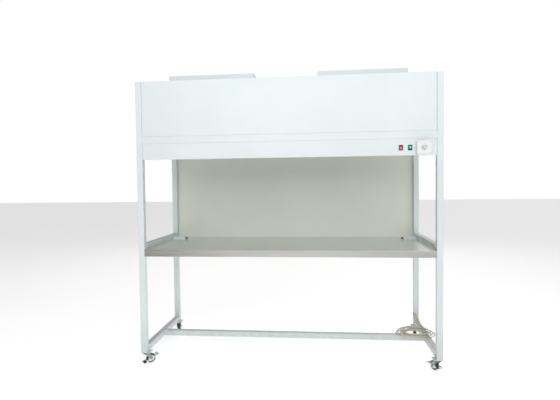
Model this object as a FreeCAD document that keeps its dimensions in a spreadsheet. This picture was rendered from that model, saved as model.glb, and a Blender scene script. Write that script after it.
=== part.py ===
"""Vertical laminar flow cabinet: frame on casters, worktop, header box with blowers and filters.

Millimetres. X runs along the worktop to the right, Y to the rear, Z up from the floor.
The origin is on the floor, at the middle of the width and of the overall depth.
"""
import FreeCAD, Part
import math
import os
import Sketcher

os.makedirs("parts", exist_ok=True)
doc = FreeCAD.newDocument("laminar_flow_cabinet")
Vector = FreeCAD.Vector

# Driving dimensions. Heights are above the posts' lower ends unless the name says otherwise,
# and drops are below their upper ends.
SIZES = {
    "frame_width": 2000, "frame_depth": 726, "frame_height": 1830, "caster_height": 82,
    "tube": 40, "tube_wall": 1.5, "tube_corner": 3, "foot_side": 60, "foot_plate": 4,
    "stretcher_middle": 363, "rail_top": 741, "lid_sheet": 1.2,
    "worktop_top": 703, "worktop_sheet": 1.5, "fold_radius": 1.5, "lip_height": 45, "lip_hem": 15,
    "rear_fold": 25, "upstand": 15, "worktop_gap": 0.3, "rib_width": 25,
    "panel_sheet": 1.2, "pan_depth": 12, "pan_inset": 2, "back_panel_bottom": 660,
    "header_drop": 420, "seam_low_drop": 413, "seam_high_drop": 367, "band_drop": 520,
    "cover_fold": 15, "cover_gap": 2, "band_fold": 30, "rail_recess": 1, "wire_hole": 10,
    "grille_sheet": 3, "grille_bar": 8, "grille_slot": 14, "grille_border": 30,
    "filter_depth": 69, "filter_wall": 18, "filter_gap": 4, "pack_recess": 6,
    "pleat_pitch": 13, "pleat_sheet": 1.5, "plenum_height": 85, "plenum_sheet": 1.5,
    "hood_inner": 213, "hood_side": 200, "hood_front": 100, "hood_depth": 400, "hood_height": 55,
    "hood_sheet": 1.2, "hood_slot": 8, "hood_pitch": 24, "inlet_length": 480, "inlet_depth": 300,
    "prefilter_height": 25, "prefilter_wall": 12,
    "blower_back": 350, "impeller_radius": 80, "blade_inner": 62,
    "impeller_width": 110, "blade_sheet": 1.2, "blade_curve": 26, "blade_sweep": 18,
    "hub_radius": 15, "shaft_radius": 6, "shaft_clearance": 0.05, "scroll_clearance": 8,
    "scroll_step": 12, "scroll_sheet": 1.5, "scroll_width": 122, "scroll_tongue": 30,
    "scroll_height": 125, "scroll_flange": 14, "inlet_radius": 64, "motor_radius": 42,
    "motor_length": 84, "motor_gap": 14, "cradle_sheet": 3, "hub_length": 40, "shaft_end": 3,
    "lamp_length": 1200, "lamp_back": 64, "lamp_width": 46, "lamp_depth": 26, "lamp_tube_radius": 8,
    "lamp_drop": 12, "lamp_cap": 16,
    "red_inset": 263, "green_inset": 206, "rocker_drop": 471, "bezel_width": 26,
    "bezel_height": 34, "bezel_lip": 2, "bezel_wall": 1.5, "bezel_body": 20, "rocker_side_gap": 0.3,
    "rocker_end_gap": 1.6, "rocker_tilt": 8, "rocker_pin": 1.5, "rocker_pin_back": 5, "rocker_nose": 5,
    "box_inset": 126.5, "box_drop": 475, "box_side": 88, "box_depth": 34, "box_wall": 2.5,
    "box_plate": 3, "box_corner": 6, "knob_radius": 15, "knob_height": 14.5,
    "knob_lift": 0.5, "knob_stem": 5, "knob_stem_gap": 0.05, "knob_skirt": 4, "knob_grip": 12,
    "bracket_length": 100, "bracket_height": 22, "bracket_depth": 26, "bracket_back": 151,
    "bracket_sheet": 2, "knob_disc_radius": 8, "knob_disc_height": 9, "knob_screw": 3,
    "wheel_radius": 31, "wheel_width": 24, "tread_edge": 3, "hub_rim": 10,
    "wheel_bore_gap": 0.05, "axle_radius": 4,
    "caster_trail": 26, "fork_sheet": 2.5, "fork_gap": 2.5, "crown_radius": 25, "crown_gap": 4,
    "head_radius": 18, "head_gap": 0.3, "king_pin": 5, "king_pin_gap": 0.08, "axle_head": 7,
    "pedal_sheet": 2, "pedal_gap": 0.3, "pedal_reach": 56, "pedal_toe": 22, "pedal_arm": 9,
    "pedal_flare": 9, "turn_front_left": 42, "turn_front_right": 115, "turn_rear_left": 100,
    "turn_rear_right": 80, "pedal_down": 24, "pedal_up": 4,
    "lead_diameter": 8, "coil_inset": 97, "coil_back": 9, "coil_half_width": 145, "coil_half_depth": 117,
    "coil_hole_width": 60, "coil_hole_depth": 40, "coil_height": 26, "coil_edge": 7, "lead_lift": 0.4,
    "gland_inset": 14, "gland_middle": 58, "gland_radius": 9, "gland_length": 34,
    "plug_radius": 15, "plug_length": 40, "pin_length": 18, "pin_width": 6.4, "pin_thickness": 1.6,
}

sheet = doc.addObject("Spreadsheet::Sheet", "Sizes")
for row, (alias, number) in enumerate(SIZES.items(), start=1):
    sheet.set(f"A{row}", alias)
    sheet.set(f"B{row}", str(number))
    sheet.setAlias(f"B{row}", alias)
doc.recompute()


class Dim:
    """A length that carries its value and the sheet formula that drives it."""

    def __init__(self, value, text):
        self.value = float(value)
        self.text = text

    def __add__(self, other):
        other = as_dim(other)
        return Dim(self.value + other.value, f"({self.text} + {other.text})")

    __radd__ = __add__

    def __neg__(self):
        return Dim(-self.value, f"(-1 * {self.text})")

    def __sub__(self, other):
        return self + (-as_dim(other))

    def __rsub__(self, other):
        return as_dim(other) - self

    def __mul__(self, factor):
        factor = as_dim(factor)
        return Dim(self.value * factor.value, f"({self.text} * {factor.text})")

    __rmul__ = __mul__

    def __truediv__(self, factor):
        factor = as_dim(factor)
        return Dim(self.value / factor.value, f"({self.text} / {factor.text})")

    def __float__(self):
        return self.value


def as_dim(number):
    """Returns a Dim for a plain number or for a Dim."""
    if isinstance(number, Dim):
        return number
    return Dim(number, f"({float(number)!r})")


class Sheet:
    """Gives each aliased cell as a Dim."""

    def __getattr__(self, alias):
        return Dim(sheet.get(alias), f"Sizes.{alias}")


S = Sheet()
PARTS = []


def bind(item, prop, dim):
    """Drives one property from the sheet."""
    item.setExpression(prop, as_dim(dim).text)


def place(item, x, y, z):
    """Drives the place of an object's own origin."""
    for axis, dim in (("x", x), ("y", y), ("z", z)):
        bind(item, f"Placement.Base.{axis}", dim)


def turn(item, rotation):
    """Turns an object about its own origin and keeps its place."""
    item.Placement = FreeCAD.Placement(item.Placement.Base, rotation)


def keep(item, label):
    """Lists an object as a sub-part under its label."""
    item.Label = label
    PARTS.append(item)
    return item


def box(name, corner, size):
    """A block from its lowest corner and its three lengths."""
    block = doc.addObject("Part::Box", name)
    for prop, dim in zip(("Length", "Width", "Height"), size):
        bind(block, prop, dim)
    place(block, *corner)
    return block


def cylinder(name, base, radius, height, direction=(0, 0, 1)):
    """A cylinder from the middle of its base, along a direction."""
    rod = doc.addObject("Part::Cylinder", name)
    bind(rod, "Radius", radius)
    bind(rod, "Height", height)
    place(rod, *base)
    turn(rod, FreeCAD.Rotation(Vector(0, 0, 1), Vector(*direction)))
    return rod


def fuse(name, items):
    """One solid from several that touch or overlap."""
    union = doc.addObject("Part::MultiFuse", name)
    union.Shapes = items
    union.Refine = True
    return union


def cut(name, base, tools):
    """The base without its tools."""
    tool = tools[0] if len(tools) == 1 else fuse(f"{name}_tools", tools)
    result = doc.addObject("Part::Cut", name)
    result.Base = base
    result.Tool = tool
    return result


def new_body(name, at=(0, 0, 0), rotation=None):
    """An empty body with its own origin."""
    body = doc.addObject("PartDesign::Body", name)
    place(body, *at)
    if rotation:
        turn(body, rotation)
    return body


def origin_item(body, role):
    """The origin plane or axis of a body."""
    return next(item for item in body.Origin.OriginFeatures if item.Role == role)


def new_sketch(body, role, offset=0):
    """A sketch on one of the body's origin planes, moved along the plane's normal."""
    sketch = body.newObject("Sketcher::SketchObject", f"{body.Name}_sketch")
    sketch.AttachmentSupport = (origin_item(body, role), [""])
    sketch.MapMode = "FlatFace"
    bind(sketch, "AttachmentOffset.Base.z", offset)
    return sketch


def drive(sketch, constraint, dim):
    """Adds a sketch constraint and drives it from the sheet."""
    index = sketch.addConstraint(constraint)
    if "Sizes" in dim.text:
        sketch.setExpression(f"Constraints[{index}]", dim.text)


def arc_between(start, end, radius, side):
    """The short arc between two points, with its centre on the left for side 1, right for -1."""
    chord = end - start
    rise = math.sqrt(max(radius ** 2 - (chord.Length / 2) ** 2, 0))
    left = Vector(-chord.y, chord.x, 0).normalize()
    centre = (start + end) * 0.5 + left * rise * side
    first, last = (start, end) if side > 0 else (end, start)
    angles = [math.atan2(p.y - centre.y, p.x - centre.x) for p in (first, last)]
    if angles[1] <= angles[0]:
        angles[1] += 2 * math.pi
    return Part.ArcOfCircle(Part.Circle(centre, Vector(0, 0, 1), radius), *angles)


def outline(sketch, steps):
    """A closed loop through (x, y) points; (x, y, radius, side) is reached by an arc."""
    points = [(as_dim(step[0]), as_dim(step[1])) for step in steps]
    count = len(points)
    edges = []
    for i in range(count):
        ahead = (i + 1) % count
        start, end = (Vector(float(p[0]), float(p[1]), 0) for p in (points[i], points[ahead]))
        if len(steps[ahead]) == 2:
            edges.append((sketch.addGeometry(Part.LineSegment(start, end)), 1, 2))
            continue
        radius, side = as_dim(steps[ahead][2]), steps[ahead][3]
        edge = sketch.addGeometry(arc_between(start, end, float(radius), side))
        edges.append((edge, 1, 2) if side > 0 else (edge, 2, 1))
        drive(sketch, Sketcher.Constraint("Radius", edge, float(radius)), radius)
    for i in range(count):
        ahead = (i + 1) % count
        edge, begin, _ = edges[ahead]
        sketch.addConstraint(Sketcher.Constraint("Coincident", edges[i][0], edges[i][2], edge, begin))
        for kind, dim in zip(("DistanceX", "DistanceY"), points[ahead]):
            drive(sketch, Sketcher.Constraint(kind, -1, 1, edge, begin, float(dim)), dim)


def rectangle(sketch, x0, y0, x1, y1):
    """A rectangle between two corners."""
    outline(sketch, [(x0, y0), (x1, y0), (x1, y1), (x0, y1)])


def rounded(sketch, half_x, half_y, radius):
    """A rectangle about the origin with round corners."""
    x, y, r = as_dim(half_x), as_dim(half_y), as_dim(radius)
    outline(sketch, [
        (-x + r, -y, r, 1), (x - r, -y), (x, -y + r, r, 1), (x, y - r),
        (x - r, y, r, 1), (-x + r, y), (-x, y - r, r, 1), (-x, -y + r)])


def circle(sketch, x, y, radius):
    """A circle about a point."""
    x, y, radius = as_dim(x), as_dim(y), as_dim(radius)
    centre = Vector(float(x), float(y), 0)
    edge = sketch.addGeometry(Part.Circle(centre, Vector(0, 0, 1), float(radius)))
    drive(sketch, Sketcher.Constraint("Radius", edge, float(radius)), radius)
    for kind, dim in (("DistanceX", x), ("DistanceY", y)):
        drive(sketch, Sketcher.Constraint(kind, -1, 1, edge, 3, float(dim)), dim)


def polygon(sketch, x, y, radius, count):
    """A regular polygon about a point, by the radius to its corners."""
    turns = [2 * math.pi * i / count for i in range(count)]
    outline(sketch, [(x + radius * math.cos(t), y + radius * math.sin(t)) for t in turns])


def extrude(body, kind, sketch, length, both, reverse):
    """Adds a pad or a pocket of a sketch to a body."""
    feature = body.newObject(f"PartDesign::{kind}", f"{body.Name}_{kind.lower()}")
    feature.Profile = sketch
    bind(feature, "Length", length)
    feature.SideType = "Symmetric" if both else "One side"
    feature.Reversed = reverse
    return feature


def pad(body, sketch, length, both=False, reverse=False):
    """Material along the sketch's normal."""
    return extrude(body, "Pad", sketch, length, both, reverse)


def pocket(body, sketch, length, both=False, reverse=False):
    """A cut against the sketch's normal."""
    return extrude(body, "Pocket", sketch, length, both, reverse)


def revolve(body, sketch, axis):
    """A full turn of a sketch about one of the body's origin axes."""
    feature = body.newObject("PartDesign::Revolution", f"{body.Name}_revolution")
    feature.Profile = sketch
    feature.ReferenceAxis = (origin_item(body, axis), [""])
    feature.Angle = 360
    return feature


def repeat_along(body, feature, axis, pitch, count):
    """Copies a feature along an axis at a pitch."""
    pattern = body.newObject("PartDesign::LinearPattern", f"{body.Name}_row")
    pattern.Originals = [feature]
    pattern.Direction = (origin_item(body, axis), [""])
    pattern.Mode = "Spacing"
    bind(pattern, "Offset", pitch)
    pattern.Occurrences = count
    body.Tip = pattern
    return pattern


def repeat_around(body, feature, axis, count):
    """Copies a feature evenly around an axis."""
    pattern = body.newObject("PartDesign::PolarPattern", f"{body.Name}_ring")
    pattern.Originals = [feature]
    pattern.Axis = (origin_item(body, axis), [""])
    pattern.Angle = 360
    pattern.Occurrences = count
    body.Tip = pattern
    return pattern


def folded(sketch, corners, thickness, inside):
    """The section of a folded sheet: its left side follows the corners, with round bends."""
    corners = [(as_dim(x), as_dim(y)) for x, y in corners]
    runs = []
    for (x0, y0), (x1, y1) in zip(corners, corners[1:]):
        dx, dy = float(x1) - float(x0), float(y1) - float(y0)
        length = math.hypot(dx, dy)
        runs.append((round(dx / length), round(dy / length)))
    left, right = [corners[0]], [shifted(corners[0], (runs[0][1], -runs[0][0]), thickness)]
    for (ax, ay), (bx, by), corner in zip(runs, runs[1:], corners[1:-1]):
        side = 1 if ax * by - ay * bx > 0 else -1
        other = shifted(corner, (ay + by, -ax - bx), thickness)
        near, far = (inside, inside + thickness) if side > 0 else (inside + thickness, inside)
        left.append(shifted(corner, (-ax, -ay), near))
        left.append((*shifted(corner, (bx, by), near), near, side))
        right.append(shifted(other, (-ax, -ay), far))
        right.append((*shifted(other, (bx, by), far), far, side))
    left.append(corners[-1])
    right.append(shifted(corners[-1], (runs[-1][1], -runs[-1][0]), thickness))
    back = []
    for i, point in reversed(list(enumerate(right))):
        after = right[i + 1] if i + 1 < len(right) else ()
        arc = (after[2], -after[3]) if len(after) == 4 else ()
        back.append((*point[:2], *arc))
    outline(sketch, left + back)


def shifted(point, direction, distance):
    """A point moved by a distance along a direction of whole steps."""
    return (point[0] + distance * direction[0], point[1] + distance * direction[1])


# Places that several pieces share
HALF_WIDTH = S.frame_width / 2
BAY = HALF_WIDTH - S.tube
REACH = S.box_depth + S.box_plate + S.knob_lift + S.knob_height
REAR_REACH = S.caster_trail + S.wheel_radius - S.foot_side / 2
FRONT = (REACH - S.frame_depth - REAR_REACH) / 2
REAR = FRONT + S.frame_depth
BASE = S.caster_height
TOP = BASE + S.frame_height
HEADER_BOTTOM = S.frame_height - S.header_drop
SEAM_LOW = S.frame_height - S.seam_low_drop
SEAM_HIGH = S.frame_height - S.seam_high_drop
BAND_BOTTOM = S.frame_height - S.band_drop
ROCKER_HEIGHT = S.frame_height - S.rocker_drop
BOX_MIDDLE = S.frame_height - S.box_drop
HOOD_OUTER = HALF_WIDTH - S.hood_side
HOOD_MIDDLE = (HOOD_OUTER + S.hood_inner) / 2
SIDES = (("left", -1), ("right", 1))


def tube_section(sketch):
    """The outside of the frame's square tube."""
    rounded(sketch, S.tube / 2, S.tube / 2, S.tube_corner)


def tube_bore(sketch):
    """The inside of the frame's square tube."""
    half = S.tube / 2 - S.tube_wall
    rounded(sketch, half, half, S.tube_corner - S.tube_wall)


def square_tube(name, at, length, role, reverse=False):
    """A hollow square tube along the normal of one plane, from a point on its middle line."""
    body = new_body(name, at)
    section = new_sketch(body, role)
    tube_section(section)
    pad(body, section, length, reverse=reverse)
    bore = new_sketch(body, role)
    tube_bore(bore)
    pocket(body, bore, length, reverse=not reverse)
    return body


def make_posts():
    """Four posts, each with its welded foot plate and the hole for the caster's king pin."""
    height = S.frame_height - S.lid_sheet
    for end, y, sy in (("front", FRONT + S.tube / 2, -1), ("rear", REAR - S.tube / 2, 1)):
        for side, sx in SIDES:
            name = f"post_{end}_{side}"
            body = square_tube(name, (sx * (HALF_WIDTH - S.tube / 2), y, BASE), height, "XY_Plane")
            foot = new_sketch(body, "XY_Plane")
            outer, inner = S.tube / 2, S.tube / 2 - S.foot_side
            rectangle(foot, sx * outer, sy * outer, sx * inner, sy * inner)
            pad(body, foot, S.foot_plate, reverse=True)
            hole = new_sketch(body, "XY_Plane")
            middle = (S.tube - S.foot_side) / 2
            circle(hole, sx * middle, sy * middle, S.king_pin + S.king_pin_gap)
            pocket(body, hole, S.foot_plate * 2, both=True)
            keep(body, name)


def make_rails():
    """Side rails at the floor and at the worktop, and the foot stretcher between the lower ones."""
    length = S.frame_depth - 2 * S.tube
    for side, sx in SIDES:
        for name, z in (("lower_rail", BASE + S.tube / 2), ("worktop_rail", BASE + S.rail_top - S.tube / 2)):
            label = f"{name}_{side}"
            at = (sx * (HALF_WIDTH - S.tube / 2), FRONT + S.tube, z)
            keep(square_tube(label, at, length, "XZ_Plane", reverse=True), label)
    at = (-BAY, FRONT + S.stretcher_middle, BASE + S.tube / 2)
    keep(square_tube("foot_stretcher", at, 2 * BAY, "YZ_Plane"), "foot_stretcher")


def hollow_bar(name, corner, size, along):
    """A hollow bar with open ends along X (0) or Y (1)."""
    bar = box(f"{name}_block", corner, size)
    wall = S.tube_wall
    inner_corner = [c if i == along else c + wall for i, c in enumerate(corner)]
    inner_size = [s if i == along else s - 2 * wall for i, s in enumerate(size)]
    return cut(f"{name}_bar", bar, [box(f"{name}_bore", inner_corner, inner_size)])


def make_worktop_frame():
    """Front and rear bearers with three ribs between them, welded into one frame."""
    z = BASE + S.worktop_top - S.worktop_sheet - S.tube
    skin = S.worktop_sheet + S.fold_radius
    first, last = FRONT + skin, REAR - skin - S.worktop_gap - S.tube
    bars = [hollow_bar("bearer_front", (-BAY, first, z), (2 * BAY, S.tube, S.tube), 0),
            hollow_bar("bearer_rear", (-BAY, last, z), (2 * BAY, S.tube, S.tube), 0)]
    for name, share in (("left", -0.5), ("middle", 0), ("right", 0.5)):
        corner = (BAY * share - S.rib_width / 2, first + S.tube, z)
        bars.append(hollow_bar(f"rib_{name}", corner, (S.rib_width, last - first - S.tube, S.tube), 1))
    keep(fuse("worktop_subframe", bars), "worktop_subframe")


def make_worktop():
    """One folded sheet: hem, front lip, top, rear fold, side upstands, and a notch for each bracket."""
    body = new_body("worktop", (0, FRONT, BASE + S.worktop_top))
    rear = S.frame_depth - S.worktop_gap
    section = new_sketch(body, "YZ_Plane")
    folded(section, [(S.lip_hem, -S.lip_height), (0, -S.lip_height), (0, 0), (rear, 0),
                     (rear, -S.rear_fold)], S.worktop_sheet, S.fold_radius)
    half = BAY - S.worktop_gap
    pad(body, section, 2 * half, both=True)
    for sx in (-1, 1):
        edge = new_sketch(body, "YZ_Plane", sx * half)
        rectangle(edge, S.tube, -S.worktop_sheet, S.frame_depth - S.tube, S.upstand)
        pad(body, edge, S.worktop_sheet, reverse=sx > 0)
    notches = new_sketch(body, "XY_Plane")
    back = S.frame_depth - S.bracket_back
    for sx in (-1, 1):
        near = sx * (BAY - S.bracket_length - 2 * S.knob_disc_radius - S.worktop_gap)
        rectangle(notches, near, back - S.worktop_gap, sx * BAY, back + S.bracket_depth + S.worktop_gap)
    pocket(body, notches, 4 * S.upstand, both=True)
    keep(body, "worktop")


def pan(name, role, at, corners, depth, wall, toward):
    """A tray that opens along its plane's normal (toward 1) or against it (toward -1)."""
    body = new_body(name, at)
    u0, v0, u1, v1 = corners
    web = new_sketch(body, role)
    rectangle(web, u0, v0, u1, v1)
    pad(body, web, depth, reverse=toward < 0)
    inside = new_sketch(body, role, toward * as_dim(wall))
    rectangle(inside, u0 + wall, v0 + wall, u1 - wall, v1 - wall)
    pocket(body, inside, depth, reverse=toward > 0)
    return body


def make_panels():
    """Back panel and header skins, each a folded tray, and the flat top with its two inlets."""
    half = HALF_WIDTH - S.pan_inset
    roof = S.frame_height - S.lid_sheet
    keep(pan("back_panel", "XZ_Plane", (0, REAR, BASE),
             (-half, S.back_panel_bottom, half, HEADER_BOTTOM),
             S.pan_depth, S.panel_sheet, -1), "back_panel")
    keep(pan("header_back", "XZ_Plane", (0, REAR, BASE), (-half, HEADER_BOTTOM, half, roof),
             S.pan_depth, S.panel_sheet, -1), "header_back")
    wide = BAY - S.cover_gap
    keep(pan("front_cover", "XZ_Plane", (0, FRONT, BASE),
             (-wide, SEAM_HIGH + S.cover_gap, wide, roof),
             S.cover_fold, S.panel_sheet, -1), "front_cover")
    for side, sx in SIDES:
        label = f"header_side_{side}"
        keep(pan(label, "YZ_Plane", (sx * HALF_WIDTH, FRONT, BASE),
                 (S.tube, HEADER_BOTTOM, S.frame_depth - S.tube, roof),
                 S.tube, S.panel_sheet, -sx), label)
    lid = new_body("header_top", (0, FRONT, TOP - S.lid_sheet))
    plate = new_sketch(lid, "XY_Plane")
    rectangle(plate, -HALF_WIDTH, 0, HALF_WIDTH, S.frame_depth + S.pan_depth)
    pad(lid, plate, S.lid_sheet)
    inlets = new_sketch(lid, "XY_Plane")
    back = S.hood_front + S.hood_depth / 2
    for _, sx in SIDES:
        x0, x1 = sx * HOOD_MIDDLE - S.inlet_length / 2, sx * HOOD_MIDDLE + S.inlet_length / 2
        rectangle(inlets, x0, back - S.inlet_depth / 2, x1, back + S.inlet_depth / 2)
    pocket(lid, inlets, S.lid_sheet * 2, both=True)
    keep(lid, "header_top")


def make_front_rail():
    """The cross rail between the two seam lines, and the folded control band under it."""
    keep(hollow_bar("header_rail", (-BAY, FRONT + S.rail_recess, BASE + SEAM_LOW),
                    (2 * BAY, S.tube, SEAM_HIGH - SEAM_LOW), 0), "header_rail")
    band = new_body("control_band", (0, FRONT, BASE + BAND_BOTTOM))
    height = SEAM_LOW - BAND_BOTTOM
    section = new_sketch(band, "YZ_Plane")
    folded(section, [(S.band_fold / 2, 0), (0, 0), (0, height), (S.band_fold, height)],
           S.panel_sheet, S.fold_radius)
    pad(band, section, 2 * (BAY - S.cover_gap), both=True)
    openings = new_sketch(band, "XZ_Plane")
    half_x, half_z = S.bezel_width / 2 - S.bezel_lip, S.bezel_height / 2 - S.bezel_lip
    z = ROCKER_HEIGHT - BAND_BOTTOM
    for x in (HALF_WIDTH - S.red_inset, HALF_WIDTH - S.green_inset):
        rectangle(openings, x - half_x, z - half_z, x + half_x, z + half_z)
    circle(openings, HALF_WIDTH - S.box_inset, BOX_MIDDLE - BAND_BOTTOM, S.wire_hole)
    pocket(band, openings, S.panel_sheet * 4, both=True)
    keep(band, "control_band")


FILTER_FRONT = FRONT + S.tube + S.rail_recess
FILTER_BOTTOM = BASE + HEADER_BOTTOM + S.grille_sheet
DECK = FILTER_BOTTOM + S.filter_depth + S.plenum_height


def make_grille():
    """The slotted diffuser under the filters."""
    body = new_body("diffuser_grille", (0, FILTER_FRONT, BASE + HEADER_BOTTOM))
    depth = REAR - FILTER_FRONT
    plate = new_sketch(body, "XY_Plane")
    rectangle(plate, -BAY, 0, BAY, depth)
    pad(body, plate, S.grille_sheet)
    slots = new_sketch(body, "XY_Plane")
    for sx in (-1, 1):
        near, far = sx * S.grille_border / 2, sx * (BAY - S.grille_border)
        rectangle(slots, near, S.grille_border, far, S.grille_border + S.grille_slot)
    first = pocket(body, slots, S.grille_sheet, reverse=True)
    pitch = S.grille_slot + S.grille_bar
    count = int(float(depth - 2 * S.grille_border + S.grille_bar) / float(pitch))
    repeat_along(body, first, "Y_Axis", pitch, count)
    keep(body, "diffuser_grille")


def pleated_pack(width, depth, height):
    """A pleated sheet: a zigzag of even folds along the depth, carried along the width."""
    folds = max(2, round(depth / float(S.pleat_pitch)))
    half_pitch = depth / folds / 2
    rise = float(S.pleat_sheet) * math.hypot(half_pitch, height) / half_pitch
    lower = [Vector(0, i * half_pitch, (height - rise) * (i % 2)) for i in range(2 * folds + 1)]
    upper = [point + Vector(0, 0, rise) for point in reversed(lower)]
    section = Part.Face(Part.makePolygon(lower + upper + lower[:1]))
    return section.extrude(Vector(width, 0, 0))


def make_filters():
    """Two filter frames side by side on the grille, each with its pleated pack."""
    length = BAY - S.filter_gap
    depth = REAR - FILTER_FRONT - S.filter_gap
    for side, sx in SIDES:
        x0 = S.filter_gap / 2 if sx > 0 else -S.filter_gap / 2 - length
        corner = (x0, FILTER_FRONT + S.filter_gap / 2, FILTER_BOTTOM)
        outer = box(f"filter_{side}_outer", corner, (length, depth, S.filter_depth))
        wall = S.filter_wall
        inner = box(f"filter_{side}_inner", (corner[0] + wall, corner[1] + wall, corner[2]),
                    (length - 2 * wall, depth - 2 * wall, S.filter_depth))
        keep(cut(f"filter_frame_{side}", outer, [inner]), f"filter_frame_{side}")
        pack = doc.addObject("Part::Feature", f"filter_pack_{side}")
        pack.Shape = pleated_pack(float(length - 2 * wall), float(depth - 2 * wall),
                                  float(S.filter_depth - 2 * S.pack_recess))
        at = (corner[0] + wall, corner[1] + wall, corner[2] + S.pack_recess)
        pack.Placement = FreeCAD.Placement(Vector(*(float(c) for c in at)), FreeCAD.Rotation())
        keep(pack, f"filter_pack_{side}")


def make_plenum():
    """The inverted tray over the filters, with the two blower outlets in its top."""
    depth = REAR - FILTER_FRONT
    half = BAY - S.worktop_gap
    body = pan("blower_deck", "XY_Plane", (0, FILTER_FRONT, DECK), (-half, 0, half, depth),
               S.plenum_height, S.plenum_sheet, -1)
    outlets = new_sketch(body, "XY_Plane")
    back = FRONT + S.blower_back - FILTER_FRONT
    y0, y1 = back + S.scroll_tongue, back + scroll_right()
    for _, sx in SIDES:
        x = sx * HOOD_MIDDLE
        rectangle(outlets, x - S.scroll_width / 2, y0, x + S.scroll_width / 2, y1)
    pocket(body, outlets, S.plenum_sheet * 2, both=True)
    keep(body, "blower_deck")


def scroll_radii():
    """The three quarter-turn radii of the scroll, from its tongue to its outlet."""
    first = S.impeller_radius + S.scroll_clearance + S.scroll_step / 2
    return first, first + S.scroll_step, first + 2 * S.scroll_step


def scroll_right():
    """How far the scroll's inner wall stands behind the shaft, at the outlet."""
    return S.scroll_step / 2 + scroll_radii()[2]


def scroll_section(sketch, wall):
    """A volute of three growing quarter arcs and a straight outlet, grown outwards by a wall."""
    a = S.scroll_step / 2
    r1, r2, r3 = (radius + wall for radius in scroll_radii())
    foot = -S.scroll_height
    outline(sketch, [
        (-a, a - r1), (-a - r1, a, r1, -1), (a, a + r2, r2, -1), (a + r3, -a, r3, -1),
        (a + r3, foot), (S.scroll_tongue - wall, foot), (S.scroll_tongue - wall, a - r1)])


def make_scroll(label, at):
    """The blower housing: volute shell with an inlet on each side and a foot flange."""
    body = new_body(label, at)
    wall = S.scroll_sheet
    outer = new_sketch(body, "YZ_Plane")
    scroll_section(outer, wall)
    pad(body, outer, S.scroll_width + 2 * wall, both=True)
    flange = new_sketch(body, "YZ_Plane")
    foot, rim = -S.scroll_height, S.scroll_flange
    rectangle(flange, S.scroll_tongue - rim, foot, scroll_right() + rim, foot + wall)
    pad(body, flange, S.scroll_width + 2 * rim, both=True)
    inner = new_sketch(body, "YZ_Plane")
    scroll_section(inner, as_dim(0))
    pocket(body, inner, S.scroll_width, both=True)
    inlet = new_sketch(body, "YZ_Plane")
    circle(inlet, 0, 0, S.inlet_radius)
    pocket(body, inlet, S.scroll_width + 4 * wall, both=True)
    keep(body, label)


def blade_section(sketch):
    """A forward-curved blade: two like arcs, a sheet's thickness apart, closed at both ends."""
    sheet_inner = math.degrees(float(S.blade_sheet) / float(S.blade_inner))
    sheet_outer = math.degrees(float(S.blade_sheet) / float(S.impeller_radius))
    sweep = -float(S.blade_sweep)

    def around(radius, degrees):
        return radius * math.cos(math.radians(degrees)), radius * math.sin(math.radians(degrees))

    tip = S.impeller_radius - S.blade_sheet / 2
    outline(sketch, [
        around(S.blade_inner, 0), (*around(tip, sweep), S.blade_curve, -1),
        around(tip, sweep - sheet_outer), (*around(S.blade_inner, -sheet_inner), S.blade_curve, 1)])


def make_impeller(label, at):
    """The impeller: middle disc on its hub, two end rings, and the ring of blades."""
    body = new_body(label, at)
    disc = new_sketch(body, "YZ_Plane")
    circle(disc, 0, 0, S.impeller_radius - S.blade_sheet)
    pad(body, disc, S.blade_sheet * 2, both=True)
    hub = new_sketch(body, "YZ_Plane")
    circle(hub, 0, 0, S.hub_radius)
    pad(body, hub, S.hub_length, both=True)
    for offset, reverse in ((S.impeller_width / 2, True), (-S.impeller_width / 2, False)):
        ring = new_sketch(body, "YZ_Plane", offset)
        circle(ring, 0, 0, S.impeller_radius)
        circle(ring, 0, 0, S.blade_inner - S.blade_sheet)
        pad(body, ring, S.blade_sheet * 2, reverse=reverse)
    section = new_sketch(body, "YZ_Plane")
    blade_section(section)
    blade = pad(body, section, S.impeller_width - S.blade_sheet, both=True)
    repeat_around(body, blade, "X_Axis", BLADES)
    bore = new_sketch(body, "YZ_Plane")
    circle(bore, 0, 0, S.shaft_radius + S.shaft_clearance)
    pocket(body, bore, S.hub_length * 2, both=True)
    keep(body, label)


def make_motor(label, sx, x, y, z):
    """A motor on its cradle, outboard of the scroll, with its shaft through the impeller."""
    start = S.scroll_width / 2 + S.scroll_sheet + S.motor_gap
    can = cylinder(f"{label}_can", (x + sx * start, y, z), S.motor_radius, S.motor_length, (sx, 0, 0))
    reach = start + S.hub_length / 2 + S.shaft_end
    shaft = cylinder(f"{label}_shaft", (x + sx * start, y, z), S.shaft_radius, reach, (-sx, 0, 0))
    left = x + sx * start if sx > 0 else x - start - S.motor_length
    half = S.motor_radius * 0.8
    pieces = [can, shaft, box(f"{label}_base", (left, y - half, DECK),
                              (S.motor_length, 2 * half, S.cradle_sheet))]
    for name, offset in (("inner", 0), ("outer", S.motor_length - S.cradle_sheet)):
        pieces.append(box(f"{label}_{name}_cheek", (left + offset, y - half, DECK),
                          (S.cradle_sheet, 2 * half, S.scroll_height - S.motor_radius / 2)))
    keep(fuse(label, pieces), label)


def make_blowers():
    """Two blowers on the deck."""
    y, z = FRONT + S.blower_back, DECK + S.scroll_height
    for side, sx in SIDES:
        x = sx * HOOD_MIDDLE
        make_scroll(f"blower_scroll_{side}", (x, y, z))
        make_impeller(f"blower_impeller_{side}", (x, y, z))
        make_motor(f"blower_motor_{side}", sx, x, y, z)


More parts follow.
